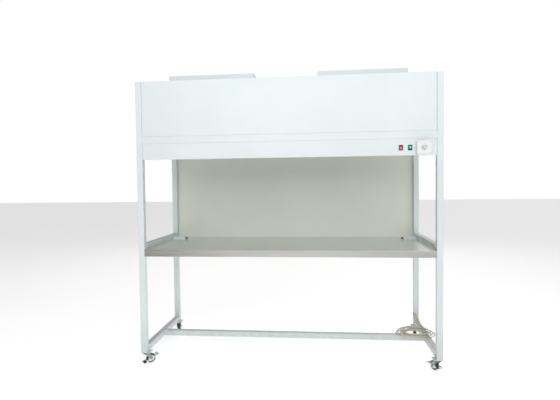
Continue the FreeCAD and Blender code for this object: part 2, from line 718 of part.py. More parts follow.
def make_lamp():
    """A batten under the grille, behind the control band, with a tube between its two caps."""
    ceiling = BASE + HEADER_BOTTOM
    y = FRONT + S.lamp_back
    under = ceiling - S.lamp_depth
    middle = under - S.lamp_drop
    half = S.lamp_length / 2
    wall = S.panel_sheet
    tray = box("lamp_tray", (-half, y, under), (S.lamp_length, S.lamp_width, S.lamp_depth))
    inside = box("lamp_tray_inside", (wall - half, y + wall, under + wall),
                 (S.lamp_length - 2 * wall, S.lamp_width - 2 * wall, S.lamp_depth))
    pieces = [cut("lamp_tray_shell", tray, [inside])]
    low = middle - S.lamp_tube_radius - S.lamp_cap / 8
    for name, x in (("left", -half), ("right", half - S.lamp_cap)):
        pieces.append(box(f"lamp_cap_{name}", (x, y + S.lamp_width / 4, low),
                          (S.lamp_cap, S.lamp_width / 2, under - low)))
    keep(fuse("lamp_batten", pieces), "lamp_batten")
    keep(cylinder("lamp_tube", (-half + S.lamp_cap, y + S.lamp_width / 2, middle),
                  S.lamp_tube_radius, S.lamp_length - 2 * S.lamp_cap, (1, 0, 0)), "lamp_tube")


def make_hoods():
    """Two slotted intake hoods on the header, each over a framed prefilter."""
    half = (HOOD_OUTER - S.hood_inner) / 2
    for side, sx in SIDES:
        label = f"intake_hood_{side}"
        at = (sx * HOOD_MIDDLE, FRONT + S.hood_front, TOP + S.hood_height)
        body = pan(label, "XY_Plane", at, (-half, 0, half, S.hood_depth),
                   S.hood_height, S.hood_sheet, -1)
        slot = new_sketch(body, "XY_Plane")
        start, margin = -half + S.hood_pitch, S.hood_pitch * 1.5
        rectangle(slot, start, margin, start + S.hood_slot, S.hood_depth - margin)
        first = pocket(body, slot, S.hood_sheet)
        count = int((2 * float(half) - float(S.hood_pitch)) / float(S.hood_pitch))
        repeat_along(body, first, "X_Axis", S.hood_pitch, count)
        keep(body, label)
        inset = S.hood_sheet + S.worktop_gap
        corner = (sx * HOOD_MIDDLE - half + inset, FRONT + S.hood_front + inset, TOP)
        size = (2 * half - 2 * inset, S.hood_depth - 2 * inset, S.prefilter_height)
        wall = S.prefilter_wall
        recess = box(f"prefilter_{side}_recess", (corner[0] + wall, corner[1] + wall, TOP + wall),
                     (size[0] - 2 * wall, size[1] - 2 * wall, S.prefilter_height))
        keep(cut(f"prefilter_{side}", box(f"prefilter_{side}_pad", corner, size), [recess]),
             f"prefilter_{side}")


def make_rocker(colour, x, tilt):
    """A rocker switch: bezel with its housing, and the rocker on its pin."""
    wall, lip = S.bezel_wall, S.bezel_lip
    z = BASE + ROCKER_HEIGHT
    frame = new_body(f"{colour}_rocker_bezel", (x, FRONT, z))
    half_x, half_z = S.bezel_width / 2, S.bezel_height / 2
    rim = new_sketch(frame, "XZ_Plane")
    rounded(rim, half_x, half_z, lip)
    pad(frame, rim, lip)
    shell = new_sketch(frame, "XZ_Plane")
    rectangle(shell, lip - half_x, lip - half_z, half_x - lip, half_z - lip)
    pad(frame, shell, S.bezel_body, reverse=True)
    cavity_x, cavity_z = half_x - lip - wall, half_z - lip - wall
    cavity = new_sketch(frame, "XZ_Plane", lip)
    rectangle(cavity, -cavity_x, -cavity_z, cavity_x, cavity_z)
    pocket(frame, cavity, lip + S.bezel_body - wall)
    hole = new_sketch(frame, "YZ_Plane")
    circle(hole, S.rocker_pin_back, 0, S.rocker_pin + S.shaft_clearance)
    pocket(frame, hole, S.bezel_width, both=True)
    keep(frame, f"{colour}_rocker_bezel")
    body = new_body(f"{colour}_rocker", (x, FRONT + S.rocker_pin_back, z),
                    FreeCAD.Rotation(Vector(1, 0, 0), tilt))
    nose, high = S.rocker_pin_back + lip + S.rocker_nose, cavity_z - S.rocker_end_gap
    profile = new_sketch(body, "YZ_Plane")
    outline(profile, [(-nose, -high), (lip, lip - high), (lip, high - lip), (-nose, high),
                      (lip - nose, 0)])
    width = 2 * (cavity_x - S.rocker_side_gap)
    pad(body, profile, width, both=True)
    pin = new_sketch(body, "YZ_Plane")
    circle(pin, 0, 0, S.rocker_pin)
    pad(body, pin, 2 * cavity_x + wall, both=True)
    keep(body, f"{colour}_rocker")


def make_control_box():
    """The surface box, its plate and the speed knob on its stem."""
    at = (HALF_WIDTH - S.box_inset, FRONT, BASE + BOX_MIDDLE)
    half = S.box_side / 2
    shell = new_body("control_box", at)
    rim = new_sketch(shell, "XZ_Plane")
    rounded(rim, half, half, S.box_corner)
    pad(shell, rim, S.box_depth)
    inside = new_sketch(shell, "XZ_Plane", S.box_depth)
    rounded(inside, half - S.box_wall, half - S.box_wall, S.box_corner - S.box_wall)
    pocket(shell, inside, S.box_depth - S.box_wall)
    keep(shell, "control_box")
    plate = new_body("control_plate", at)
    face = new_sketch(plate, "XZ_Plane", S.box_depth)
    rounded(face, half, half, S.box_corner)
    pad(plate, face, S.box_plate)
    hole = new_sketch(plate, "XZ_Plane", S.box_depth)
    circle(hole, 0, 0, S.knob_stem + S.knob_stem_gap)
    pocket(plate, hole, S.box_plate, reverse=True)
    keep(plate, "control_plate")
    knob = new_body("speed_knob", at)
    seat = S.box_depth + S.box_plate + S.knob_lift
    stem = new_sketch(knob, "XZ_Plane", seat)
    circle(stem, 0, 0, S.knob_stem)
    pad(knob, stem, S.knob_lift + S.box_plate * 2, reverse=True)
    skirt = new_sketch(knob, "XZ_Plane", seat)
    circle(skirt, 0, 0, S.knob_radius)
    pad(knob, skirt, S.knob_skirt)
    grip = new_sketch(knob, "XZ_Plane", seat)
    circle(grip, 0, 0, S.knob_grip)
    pad(knob, grip, S.knob_height)
    line = new_sketch(knob, "XZ_Plane", seat + S.knob_height)
    rectangle(line, -S.knob_lift, S.knob_grip / 2, S.knob_lift, S.knob_radius)
    pocket(knob, line, S.knob_lift)
    keep(knob, "speed_knob")


def make_brackets():
    """Two brackets on the side rails, each in its notch of the worktop, and the knobs on their tabs."""
    z = BASE + S.worktop_top
    y = REAR - S.bracket_back
    tab, wall = S.knob_disc_radius * 2, S.bracket_sheet
    brackets, knobs = [], []
    for side, sx in SIDES:
        name = f"bracket_{side}"
        x = BAY - S.bracket_length if sx > 0 else -BAY
        bar = box(f"{name}_bar", (x, y, z), (S.bracket_length, S.bracket_depth, S.bracket_height))
        bore = box(f"{name}_bore", (x + wall, y + wall, z),
                   (S.bracket_length - 2 * wall, S.bracket_depth - 2 * wall, S.bracket_height - wall))
        tab_x = x - tab if sx > 0 else x + S.bracket_length
        foot = box(f"{name}_tab", (tab_x, y, z), (tab, S.bracket_depth, wall))
        brackets.append(fuse(name, [cut(f"{name}_shell", bar, [bore]), foot]))
        middle = (tab_x + tab / 2, y + S.bracket_depth / 2)
        stem = cylinder(f"{name}_stem", (*middle, z + wall), S.knob_screw, S.knob_disc_height)
        disc = cylinder(f"{name}_disc", (*middle, z + wall + S.knob_disc_height / 2),
                        S.knob_disc_radius, S.knob_disc_height)
        knobs.append(fuse(f"{name}_knob", [stem, disc]))
    keep(fuse("rear_brackets", brackets), "rear_brackets")
    keep(fuse("bracket_knobs", knobs), "bracket_knobs")


BLADES = 24
AXLE = S.wheel_radius


def make_fork(label, at, heading, half_axle):
    """A swivel fork: king pin and head, crown, two tapered legs, and the axle with its heads."""
    body = new_body(label, at, FreeCAD.Rotation(Vector(0, 0, 1), heading))
    crown_low = 2 * S.wheel_radius + S.crown_gap
    crown_top = crown_low + S.fork_sheet
    head_top = BASE - S.foot_plate - S.head_gap
    for radius, low, high in ((S.crown_radius, crown_low, crown_top),
                              (S.head_radius, crown_top, head_top),
                              (S.king_pin, head_top, BASE + S.king_pin / 2)):
        ring = new_sketch(body, "XY_Plane", low)
        circle(ring, 0, 0, radius)
        pad(body, ring, high - low)
    inner = S.wheel_width / 2 + S.fork_gap
    shoulder, boss = S.head_radius, 2 * S.axle_radius + 1
    for sy in (-1, 1):
        leg = new_sketch(body, "XZ_Plane", sy * inner)
        outline(leg, [(-shoulder, crown_top), (S.caster_trail - boss, AXLE),
                      (S.caster_trail, AXLE - boss, boss, 1),
                      (S.caster_trail + boss, AXLE, boss, 1), (shoulder, crown_top)])
        pad(body, leg, S.fork_sheet, reverse=sy < 0)
    axle = new_sketch(body, "XZ_Plane")
    circle(axle, S.caster_trail, AXLE, S.axle_radius)
    pad(body, axle, 2 * half_axle, both=True)
    for sy in (-1, 1):
        head = new_sketch(body, "XZ_Plane", sy * half_axle)
        polygon(head, S.caster_trail, AXLE, S.axle_head, 6)
        pad(body, head, S.fork_sheet, reverse=sy < 0)
    keep(body, label)


def make_wheel(label, at, heading):
    """A caster wheel: hub, dished web and tread with its edges broken, turned about its axle."""
    body = new_body(label, at, FreeCAD.Rotation(Vector(0, 0, 1), heading))
    half, radius = S.wheel_width / 2, S.wheel_radius
    bore, hub = S.axle_radius + S.wheel_bore_gap, S.hub_rim
    rim, dish = radius * 0.72, half * 0.62
    edge = S.tread_edge
    profile = new_sketch(body, "XY_Plane")
    outline(profile, [
        (bore, -half), (hub, -half), (hub, -dish), (rim, -dish), (rim, -half), (radius - edge, -half),
        (radius, edge - half), (radius, half - edge), (radius - edge, half),
        (rim, half), (rim, dish), (hub, dish), (hub, half), (bore, half)])
    revolve(body, profile, "Y_Axis")
    keep(body, label)


def make_pedal(label, at, heading, down):
    """A rocking brake lever on the axle: two arms outside the fork, a toe plate and a heel plate."""
    rotation = FreeCAD.Rotation(Vector(0, 0, 1), heading) * FreeCAD.Rotation(Vector(0, 1, 0), -down)
    body = new_body(label, at, rotation)
    inner = S.wheel_width / 2 + S.fork_gap + S.fork_sheet + S.pedal_gap
    plate_in, half_arm = S.pedal_reach - S.pedal_toe, S.pedal_arm / 2
    plate = new_sketch(body, "XY_Plane")
    outer = inner + S.pedal_sheet
    for sx in (-1, 1):
        outline(plate, [(sx * plate_in, -outer), (sx * S.pedal_reach, -outer - S.pedal_flare),
                        (sx * S.pedal_reach, outer + S.pedal_flare), (sx * plate_in, outer)])
    pad(body, plate, S.pedal_sheet, both=True)
    for sy in (-1, 1):
        arm = new_sketch(body, "XZ_Plane", sy * inner)
        rectangle(arm, -plate_in - half_arm, -half_arm, plate_in + half_arm, half_arm)
        pad(body, arm, S.pedal_sheet, reverse=sy < 0)
        boss = new_sketch(body, "XZ_Plane", sy * inner)
        circle(boss, 0, 0, S.axle_head + 1)
        pad(body, boss, S.pedal_sheet, reverse=sy < 0)
    bore = new_sketch(body, "XZ_Plane")
    circle(bore, 0, 0, S.axle_radius + S.wheel_bore_gap)
    pocket(body, bore, 2 * outer + S.pedal_sheet, both=True)
    keep(body, label)


def make_casters():
    """Four casters on the foot plates; the front two have a brake lever."""
    for end, sy, y in (("front", -1, FRONT + S.foot_side / 2), ("rear", 1, REAR - S.foot_side / 2)):
        for side, sx in SIDES:
            heading = float(getattr(S, f"turn_{end}_{side}"))
            x = sx * (HALF_WIDTH - S.foot_side / 2)
            away = math.radians(heading)
            at = (x + S.caster_trail * math.cos(away), y + S.caster_trail * math.sin(away), AXLE)
            half_axle = S.wheel_width / 2 + S.fork_gap + S.fork_sheet
            if end == "front":
                half_axle = half_axle + S.pedal_sheet + 2 * S.pedal_gap
                down = float(S.pedal_down if side == "left" else S.pedal_up)
                make_pedal(f"brake_lever_{side}", at, heading, down)
            make_fork(f"caster_fork_{end}_{side}", (x, y, 0), heading, half_axle)
            make_wheel(f"caster_wheel_{end}_{side}", at, heading)


COIL_SIDES = 36
# The lead's route: inwards from the right side, forwards from the rear post, and above its lower end
LEAD_OUT = [(14, 34, 58), (14, 74, 58), (16, 140, 45.4), (2, 200, 45.4), (-20, 255, 46)]
LEAD_BACK = [(99, 205, 62), (59, 205, 60), (33, 178, 51), (32, 132, 45.4), (34, 86, 48), (36, 55, 71)]


def lead_points(points):
    """The route's points in the cabinet's frame."""
    right, back = float(HALF_WIDTH), float(REAR - S.tube)
    return [Vector(right - inset, back - ahead, float(BASE) + up) for inset, ahead, up in points]


def route_wire(points):
    """Straight runs joined by tangent arcs, each as large as its two runs allow."""
    corners = lead_points(points)
    edges, start, radii = [], corners[0], []
    for before, corner, after in zip(corners, corners[1:], corners[2:]):
        back, ahead = (before - corner), (after - corner)
        run = min(back.Length, ahead.Length)
        back.normalize()
        ahead.normalize()
        turning = math.pi - back.getAngle(ahead)
        cutback = 0.45 * run
        radii.append(cutback / math.tan(turning / 2))
        inward = (back + ahead).normalize()
        middle = corner + inward * (radii[-1] / math.cos(turning / 2) - radii[-1])
        first, last = corner + back * cutback, corner + ahead * cutback
        edges.append(Part.LineSegment(start, first).toShape())
        edges.append(Part.Arc(first, middle, last).toShape())
        start = last
    edges.append(Part.LineSegment(start, corners[-1]).toShape())
    print("lead radii", [round(radius) for radius in radii])
    return Part.Wire(edges)


def lead_tube(points):
    """The round lead along its route, with its volume compared to section times length."""
    path = route_wire(points)
    radius = float(S.lead_diameter) / 2
    start, after = lead_points(points[:2])
    section = Part.Wire(Part.makeCircle(radius, start, after - start))
    tube = path.makePipeShell([section], True, True)
    wanted = math.pi * radius ** 2 * path.Length
    print("lead length", round(path.Length), "volume share", round(tube.Volume / wanted, 4))
    return tube


def make_lead():
    """The mains lead: gland, free lead, loose flat coil on the stretcher and rail, and plug."""
    gland = new_body("lead_gland", (HALF_WIDTH - S.gland_inset, REAR - S.tube, BASE + S.gland_middle))
    nut = new_sketch(gland, "XZ_Plane")
    polygon(nut, 0, 0, S.gland_radius, 6)
    pad(gland, nut, S.gland_length / 2)
    nose = new_sketch(gland, "XZ_Plane", S.gland_length / 2)
    circle(nose, 0, 0, S.gland_radius * 0.7)
    pad(gland, nose, S.gland_length / 2)
    keep(gland, "lead_gland")
    lead = doc.addObject("Part::Feature", "mains_lead")
    lead.Shape = Part.makeCompound([lead_tube(LEAD_OUT), lead_tube(LEAD_BACK)])
    keep(lead, "mains_lead")
    coil = doc.addObject("Part::Feature", "lead_coil")
    axis = Vector(0, 0, 1)

    def oval(half_x, half_y):
        turns = [2 * math.pi * i / COIL_SIDES for i in range(COIL_SIDES + 1)]
        corners = [Vector(float(half_x) * math.cos(t), float(half_y) * math.sin(t), 0) for t in turns]
        return Part.Face(Part.makePolygon(corners)).extrude(axis * float(S.coil_height))

    ring = oval(S.coil_half_width, S.coil_half_depth).cut(oval(S.coil_hole_width, S.coil_hole_depth))
    rims = [edge for edge in ring.Edges if abs(edge.tangentAt(edge.FirstParameter).z) < 0.5]
    coil.Shape = ring.makeChamfer(float(S.coil_edge), rims)
    coil.Placement = FreeCAD.Placement(
        Vector(float(HALF_WIDTH - S.coil_inset), float(FRONT + S.stretcher_middle + S.coil_back),
               float(BASE + S.tube + S.lead_lift)), FreeCAD.Rotation())
    keep(coil, "lead_coil")
    start, end = lead_points(LEAD_BACK[-2:])
    plug = new_body("mains_plug", end, FreeCAD.Rotation(axis, end - start))
    shape = new_sketch(plug, "XZ_Plane")
    r, length = S.plug_radius, S.plug_length
    outline(shape, [(0, 0), (r * 0.5, 0), (r, length * 0.4), (r, length), (0, length)])
    revolve(plug, shape, "Z_Axis")
    pins = new_sketch(plug, "XY_Plane", length)
    for x, y, degrees in ((0, -7.5, 90), (-6, 4, 60), (6, 4, 120)):
        along = math.cos(math.radians(degrees)), math.sin(math.radians(degrees))
        u, v = (S.pin_width / 2 * c for c in along)
        p, q = (S.pin_thickness / 2 * c for c in (-along[1], along[0]))
        outline(pins, [(x - u - p, y - v - q), (x + u - p, y + v - q),
                       (x + u + p, y + v + q), (x - u + p, y - v + q)])
    pad(plug, pins, S.pin_length)
    keep(plug, "mains_plug")


make_posts()
make_rails()
make_worktop_frame()
make_worktop()
make_panels()
make_front_rail()
make_grille()
make_filters()
make_plenum()
make_blowers()
make_lamp()
make_hoods()
make_rocker("red", HALF_WIDTH - S.red_inset, float(S.rocker_tilt))
make_rocker("green", HALF_WIDTH - S.green_inset, -float(S.rocker_tilt))
make_control_box()
make_brackets()
make_casters()
make_lead()
doc.recompute()

failed = [item.Name for item in doc.Objects if {"Invalid", "Error"} & set(item.State)]
faulty = [part.Label for part in PARTS if part.Shape.isNull() or not part.Shape.isValid()]
if failed or faulty:
    raise RuntimeError(f"failed objects {failed}, faulty shapes {faulty}")
for part in PARTS:
    part.Shape.exportStep(f"parts/{part.Label}.step")
print("sub-parts", len(PARTS))
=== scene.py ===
"""Looks of the vertical laminar flow cabinet: finishes, welds, screws, casters, controls, lead and studio.

Metres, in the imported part's own frame: X along the worktop to the right, Y to the rear, Z up.
"""

import math

import bmesh
import bpy
import numpy as np
from mathutils import Matrix, Vector


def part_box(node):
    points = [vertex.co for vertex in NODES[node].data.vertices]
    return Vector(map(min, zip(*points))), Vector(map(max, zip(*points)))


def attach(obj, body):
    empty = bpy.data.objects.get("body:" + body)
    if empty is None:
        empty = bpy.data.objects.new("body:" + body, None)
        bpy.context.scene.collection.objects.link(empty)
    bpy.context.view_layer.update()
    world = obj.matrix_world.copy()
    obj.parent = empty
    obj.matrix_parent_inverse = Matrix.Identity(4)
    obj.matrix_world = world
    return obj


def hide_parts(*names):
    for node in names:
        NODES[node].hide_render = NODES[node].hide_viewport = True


bl_info = {
    "name": "Laminar flow cabinet",
    "version": (1, 0, 0),
    "blender": (4, 5, 0),
    "location": "3D View > Sidebar > Cabinet",
    "description": "Dresses the packed laminar flow cabinet with its finishes and small pieces",
    "category": "Object",
}

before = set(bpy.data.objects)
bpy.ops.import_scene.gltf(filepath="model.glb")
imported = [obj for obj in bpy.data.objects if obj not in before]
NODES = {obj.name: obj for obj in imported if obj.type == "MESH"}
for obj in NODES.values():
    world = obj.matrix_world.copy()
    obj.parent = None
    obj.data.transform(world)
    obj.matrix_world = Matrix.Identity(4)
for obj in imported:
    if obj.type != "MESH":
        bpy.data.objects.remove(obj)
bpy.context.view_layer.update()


# Settings

def colour(name, description, default):
    """A colour that a user may change."""
    return bpy.props.FloatVectorProperty(
        name=name, description=description, subtype="COLOR", size=3, min=0.0, max=1.0, default=default)


def number(name, description, default):
    """A plain number that a user may change."""
    return bpy.props.FloatProperty(name=name, description=description, min=0.0, default=default)


def length(name, description, default):
    """A length that a user may change."""
    return bpy.props.FloatProperty(
        name=name, description=description, min=0.0, unit="LENGTH", subtype="DISTANCE", default=default)


class CabinetFinish(bpy.types.PropertyGroup):
    """Colours of the cabinet's finishes."""

    paint: colour("Paint", "Powder coat of the frame and the header", (0.700, 0.760, 0.765))
    lining: colour("Lining", "Powder coat of the back panel", (0.770, 0.805, 0.735))
    steel: colour("Worktop steel", "Brushed stainless steel", (0.765, 0.765, 0.735))
    zinc: colour("Zinc", "Bright zinc plate of the casters", (0.700, 0.720, 0.740))
    tyre: colour("Tyre", "Black rubber of the casters", (0.022, 0.023, 0.025))
    hub: colour("Hub", "White moulded hub of the casters", (0.880, 0.900, 0.900))
    fork: colour("Fork", "Passivated zinc of the caster forks", (0.300, 0.375, 0.350))
    red: colour("Red rocker", "Lens of the red rocker", (0.760, 0.030, 0.020))
    green: colour("Green rocker", "Lens of the green rocker", (0.010, 0.420, 0.300))
    lead: colour("Lead", "Sheath of the mains lead", (0.600, 0.585, 0.480))
    plug: colour("Plug", "Moulded plug", (0.520, 0.480, 0.380))
    plug_face: colour("Plug face", "Brown contact carrier of the plug", (0.120, 0.085, 0.060))
    gland: colour("Gland", "Cream nylon of the cable gland", (0.700, 0.660, 0.380))
    knob: colour("Knob", "Pale moulded speed knob", (0.600, 0.610, 0.600))


class CabinetDetail(bpy.types.PropertyGroup):
    """Sizes of the small pieces."""

    weld_leg: length("Weld leg", "Width of a weld bead on each side", 0.0035)
    screw_radius: length("Screw head", "Radius of a panel screw's head", 0.0042)
    lead_diameter: length("Lead diameter", "Diameter of the mains lead", 0.008)
    lead_length: length("Lead length", "Length of the mains lead", 4.29)
    relief_radius: length("Strain relief root", "Radius of the strain relief at its nut", 0.0088)


class CabinetStudio(bpy.types.PropertyGroup):
    """Camera and light of the studio."""

    lens: bpy.props.FloatProperty(
        name="Lens", description="Focal length in millimetres", min=1.0, default=27.70)
    sky: number("Sky", "Strength of the even light, weakest on the left", 0.53)
    key: number("Key light", "Power of the soft light in front", 94.0)
    fill: number("Fill light", "Power of the soft light from the right", 4.0)
    overhead: number("Overhead light", "Power of the soft light above the header", 36.0)
    rear: number("Rear light", "Power of the soft light behind the cabinet", 40.0)


# Surfaces

def merged(mesh):
    """Closes seams and poles by merging vertices that coincide."""
    work = bmesh.new()
    work.from_mesh(mesh)
    bmesh.ops.remove_doubles(work, verts=work.verts, dist=1e-6)
    bmesh.ops.dissolve_degenerate(work, edges=work.edges, dist=1e-7)
    bmesh.ops.recalc_face_normals(work, faces=work.faces)
    work.to_mesh(mesh)
    work.free()


def piece(name, vertices, faces, material, body, smooth=35.0):
    """A mesh object from arrays, with its material, on a body of the part."""
    mesh = bpy.data.meshes.new(name)
    mesh.from_pydata(vertices.tolist(), [], faces.tolist())
    merged(mesh)
    mesh.materials.append(material)
    made = bpy.data.objects.new(name, mesh)
    bpy.context.scene.collection.objects.link(made)
    mesh.set_sharp_from_angle(angle=math.radians(smooth))
    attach(made, body)
    return made


def quads(rows, columns, around=False, along=False):
    """The four-sided faces of a grid of points; around closes its columns, along its rows."""
    index = np.arange(rows * columns).reshape(rows, columns)
    if around:
        index = np.concatenate([index, index[:, :1]], axis=1)
    if along:
        index = np.concatenate([index, index[:1]], axis=0)
    corners = [index[:-1, :-1], index[:-1, 1:], index[1:, 1:], index[1:, :-1]]
    return np.stack(corners, axis=-1).reshape(-1, 4)


def grid(name, points, material, body, along=False):
    """An object from a grid of points whose columns close."""
    faces = quads(points.shape[0], points.shape[1], True, along)
    return piece(name, points.reshape(-1, 3), faces, material, body)


def repeated(faces, step, count):
    """The faces of several copies of a shape that has step vertices."""
    return (faces[None] + step * np.arange(count)[:, None, None]).reshape(-1, 4)


def prism(rows):
    """The faces of a bar with four-sided sections: its sides and both ends."""
    last = 4 * rows - 1
    return np.concatenate([quads(rows, 4, around=True), [[0, 1, 2, 3], [last, last - 1, last - 2, last - 3]]])


def copies(shape, faces, origins, axes):
    """A small shape repeated: each copy's third axis lies along the one given, from its origin.

    A copy's vertex is origin + x * u + y * v + z * axis, with u and v square to the axis.
    """
    axes = axes / np.linalg.norm(axes, axis=1, keepdims=True)
    helper = np.where(np.abs(axes[:, 2:3]) < 0.9, [[0.0, 0.0, 1.0]], [[1.0, 0.0, 0.0]])
    u = np.cross(helper, axes)
    u /= np.linalg.norm(u, axis=1, keepdims=True)
    v = np.cross(axes, u)
    laid = (shape[None, :, :1] * u[:, None] + shape[None, :, 1:2] * v[:, None]
            + shape[None, :, 2:] * axes[:, None])
    vertices = (origins[:, None] + laid).reshape(-1, 3)
    return vertices, repeated(faces, len(shape), len(origins))


def lathe(profile, segments=96):
    """A profile of (radius, height) pairs turned about the third axis: (r cos t, r sin t, z)."""
    turn = np.linspace(0.0, 2.0 * np.pi, segments, endpoint=False)
    radius, height = profile[:, :1], profile[:, 1:]
    return np.stack([radius * np.cos(turn), radius * np.sin(turn), height + 0.0 * turn], axis=-1)


def turned(points, origin, axis):
    """A grid moved so that its third axis lies along an axis, from an origin."""
    moved, _ = copies(points.reshape(-1, 3), np.zeros((1, 4), int), np.array([origin]), np.array([axis]))
    return moved.reshape(points.shape)


def mirrored(half):
    """A profile of (radius, height) pairs and its mirror image; a last point at height 0 stays single."""
    back = half[::-1] * (1.0, -1.0)
    return np.concatenate([half, back[1:] if half[-1, 1] == 0.0 else back])


# Materials

class Graph:
    """Short calls for the nodes of one material or node group."""

    def __init__(self, tree):
        self.tree = tree

    def add(self, kind, **settings):
        """A new node with its settings."""
        node = self.tree.nodes.new(kind)
        for name, value in settings.items():
            setattr(node, name, value)
        return node

    def feed(self, socket, value):
        """Gives an input a plain value, or links it to an output."""
        if isinstance(value, bpy.types.NodeSocket):
            self.tree.links.new(value, socket)
        else:
            socket.default_value = value

    def math(self, operation, first, second=0.0, third=0.0, clamp=False):
        """The result of a Math node."""
        node = self.add("ShaderNodeMath", operation=operation, use_clamp=clamp)
        for socket, value in zip(node.inputs, (first, second, third)):
            self.feed(socket, value)
        return node.outputs[0]

    def span(self, value, low, high, start=0.0, end=1.0):
        """A smooth step from start to end while the value goes from low to high."""
        node = self.add("ShaderNodeMapRange", interpolation_type="SMOOTHSTEP")
        for socket, item in zip(node.inputs, (value, low, high, start, end)):
            self.feed(socket, item)
        return node.outputs[0]

    def blend(self, factor, first, second):
        """A colour between two colours."""
        node = self.add("ShaderNodeMix", data_type="RGBA")
        self.feed(node.inputs[0], factor)
        self.feed(node.inputs[6], first)
        self.feed(node.inputs[7], second)
        return node.outputs[2]

    def place(self):
        """Object coordinates."""
        return self.add("ShaderNodeTexCoord").outputs["Object"]

    def stretched(self, scale):
        """Object coordinates scaled along each axis."""
        node = self.add("ShaderNodeMapping")
        self.feed(node.inputs["Vector"], self.place())
        node.inputs["Scale"].default_value = scale
        return node.outputs[0]

    def noise(self, vector, scale, detail=2.0, rough=0.5):
        """A noise value from 0 to 1."""
        node = self.add("ShaderNodeTexNoise")
        self.feed(node.inputs["Vector"], vector)
        self.feed(node.inputs["Scale"], scale)
        node.inputs["Detail"].default_value = detail
        node.inputs["Roughness"].default_value = rough
        return node.outputs["Fac"]

    def vector(self, operation, first, second=(0.0, 0.0, 0.0)):
        """The outputs of a Vector Math node."""
        node = self.add("ShaderNodeVectorMath", operation=operation)
        self.feed(node.inputs[0], first)
        self.feed(node.inputs[1], second)
        return node.outputs

    def part(self, vector, axis):
        """One coordinate of a vector."""
        node = self.add("ShaderNodeSeparateXYZ")
        self.feed(node.inputs[0], vector)
        return node.outputs[axis]

    def facing(self, axis):
        """One coordinate of the direction that the surface looks to."""
        return self.part(self.add("ShaderNodeNewGeometry").outputs["Normal"], axis)


def rgba(values, share=1.0):
    """A share of a colour, with full alpha."""
    return (*(share * value for value in values), 1.0)


def effect(name, inputs, outputs, build):
    """A node group with named inputs and outputs, built once."""
    if name in bpy.data.node_groups:
        return bpy.data.node_groups[name]
    group = bpy.data.node_groups.new(name, "ShaderNodeTree")
    kinds = {"number": "NodeSocketFloat", "colour": "NodeSocketColor", "vector": "NodeSocketVector"}
    for label, kind, default in inputs:
        socket = group.interface.new_socket(label, in_out="INPUT", socket_type=kinds[kind])
        socket.default_value = default
    for label, kind in outputs:
        group.interface.new_socket(label, in_out="OUTPUT", socket_type=kinds[kind])
    graph = Graph(group)
    given = graph.add("NodeGroupInput").outputs
    taken = graph.add("NodeGroupOutput").inputs
    for label, value in build(graph, given).items():
        graph.feed(taken[label], value)
    return group


def peel_effect():
    """Powder coat: a fine orange-peel height and a slow change of tone."""
    def build(g, given):
        fine = g.noise(g.place(), given["Scale"], 3.0, 0.55)
        broad = g.noise(g.place(), g.math("MULTIPLY", given["Scale"], 0.28), 1.0)
        cloud = g.noise(g.place(), 1.7, 3.0, 0.6)
        return {"Height": g.math("MULTIPLY_ADD", fine, 0.45, g.math("MULTIPLY", broad, 0.55)),
                "Cloud": g.span(cloud, 0.3, 0.7)}
    return effect("powder_peel", [("Scale", "number", 620.0)],
                  [("Height", "number"), ("Cloud", "number")], build)


def dust_effect():
    """Settled dust: lies where the surface looks up, in uneven patches, and dulls the finish."""
    def build(g, given):
        level = g.span(g.facing("Z"), 0.55, 0.98)
        patch = g.noise(g.place(), 9.0, 5.0, 0.62)
        specks = g.span(g.noise(g.place(), 420.0, 2.0, 0.7), 0.52, 0.72)
        cover = g.math("ADD", g.span(patch, 0.35, 0.75, 0.25, 0.8), g.math("MULTIPLY", specks, 0.35))
        mask = g.math("MULTIPLY", g.math("MULTIPLY", level, cover), given["Amount"], clamp=True)
        return {"Colour": g.blend(mask, given["Colour"], (0.66, 0.66, 0.64, 1.0)), "Mask": mask}
    return effect("settled_dust", [("Colour", "colour", (0.8, 0.8, 0.8, 1.0)), ("Amount", "number", 0.3)],
                  [("Colour", "colour"), ("Mask", "number")], build)


def touch_effect():
    """Smudges from hands and cloths: broad wipes broken by a finer noise."""
    def build(g, given):
        wipe = g.noise(g.stretched((3.0, 9.0, 7.0)), given["Scale"], 4.0, 0.6)
        print_ = g.noise(g.place(), 38.0, 3.0, 0.6)
        smear = g.math("MULTIPLY", g.span(wipe, 0.45, 0.72), g.span(print_, 0.35, 0.65, 0.35, 1.0))
        return {"Mask": g.math("MULTIPLY", smear, given["Amount"], clamp=True)}
    return effect("hand_smudges", [("Scale", "number", 1.0), ("Amount", "number", 0.5)],
                  [("Mask", "number")], build)


def grime_effect():
    """Floor grime: a grey film that fades out above the floor, with scuffs in it."""
    def build(g, given):
        low = g.span(g.part(g.place(), "Z"), given["Bottom"], given["Top"], 1.0, 0.0)
        film = g.noise(g.place(), 24.0, 5.0, 0.65)
        scuff = g.span(g.noise(g.stretched((60.0, 60.0, 14.0)), 3.0, 3.0, 0.7), 0.56, 0.80)
        mask = g.math("MULTIPLY", low, g.math("MULTIPLY_ADD", film, 0.42, g.math("MULTIPLY", scuff, 0.25)),
                      clamp=True)
        return {"Colour": g.blend(mask, given["Colour"], (0.16, 0.15, 0.14, 1.0)), "Mask": mask}
    return effect("floor_grime", [("Colour", "colour", (0.8, 0.8, 0.8, 1.0)), ("Bottom", "number", 0.0),
                                  ("Top", "number", 0.35)], [("Colour", "colour"), ("Mask", "number")], build)


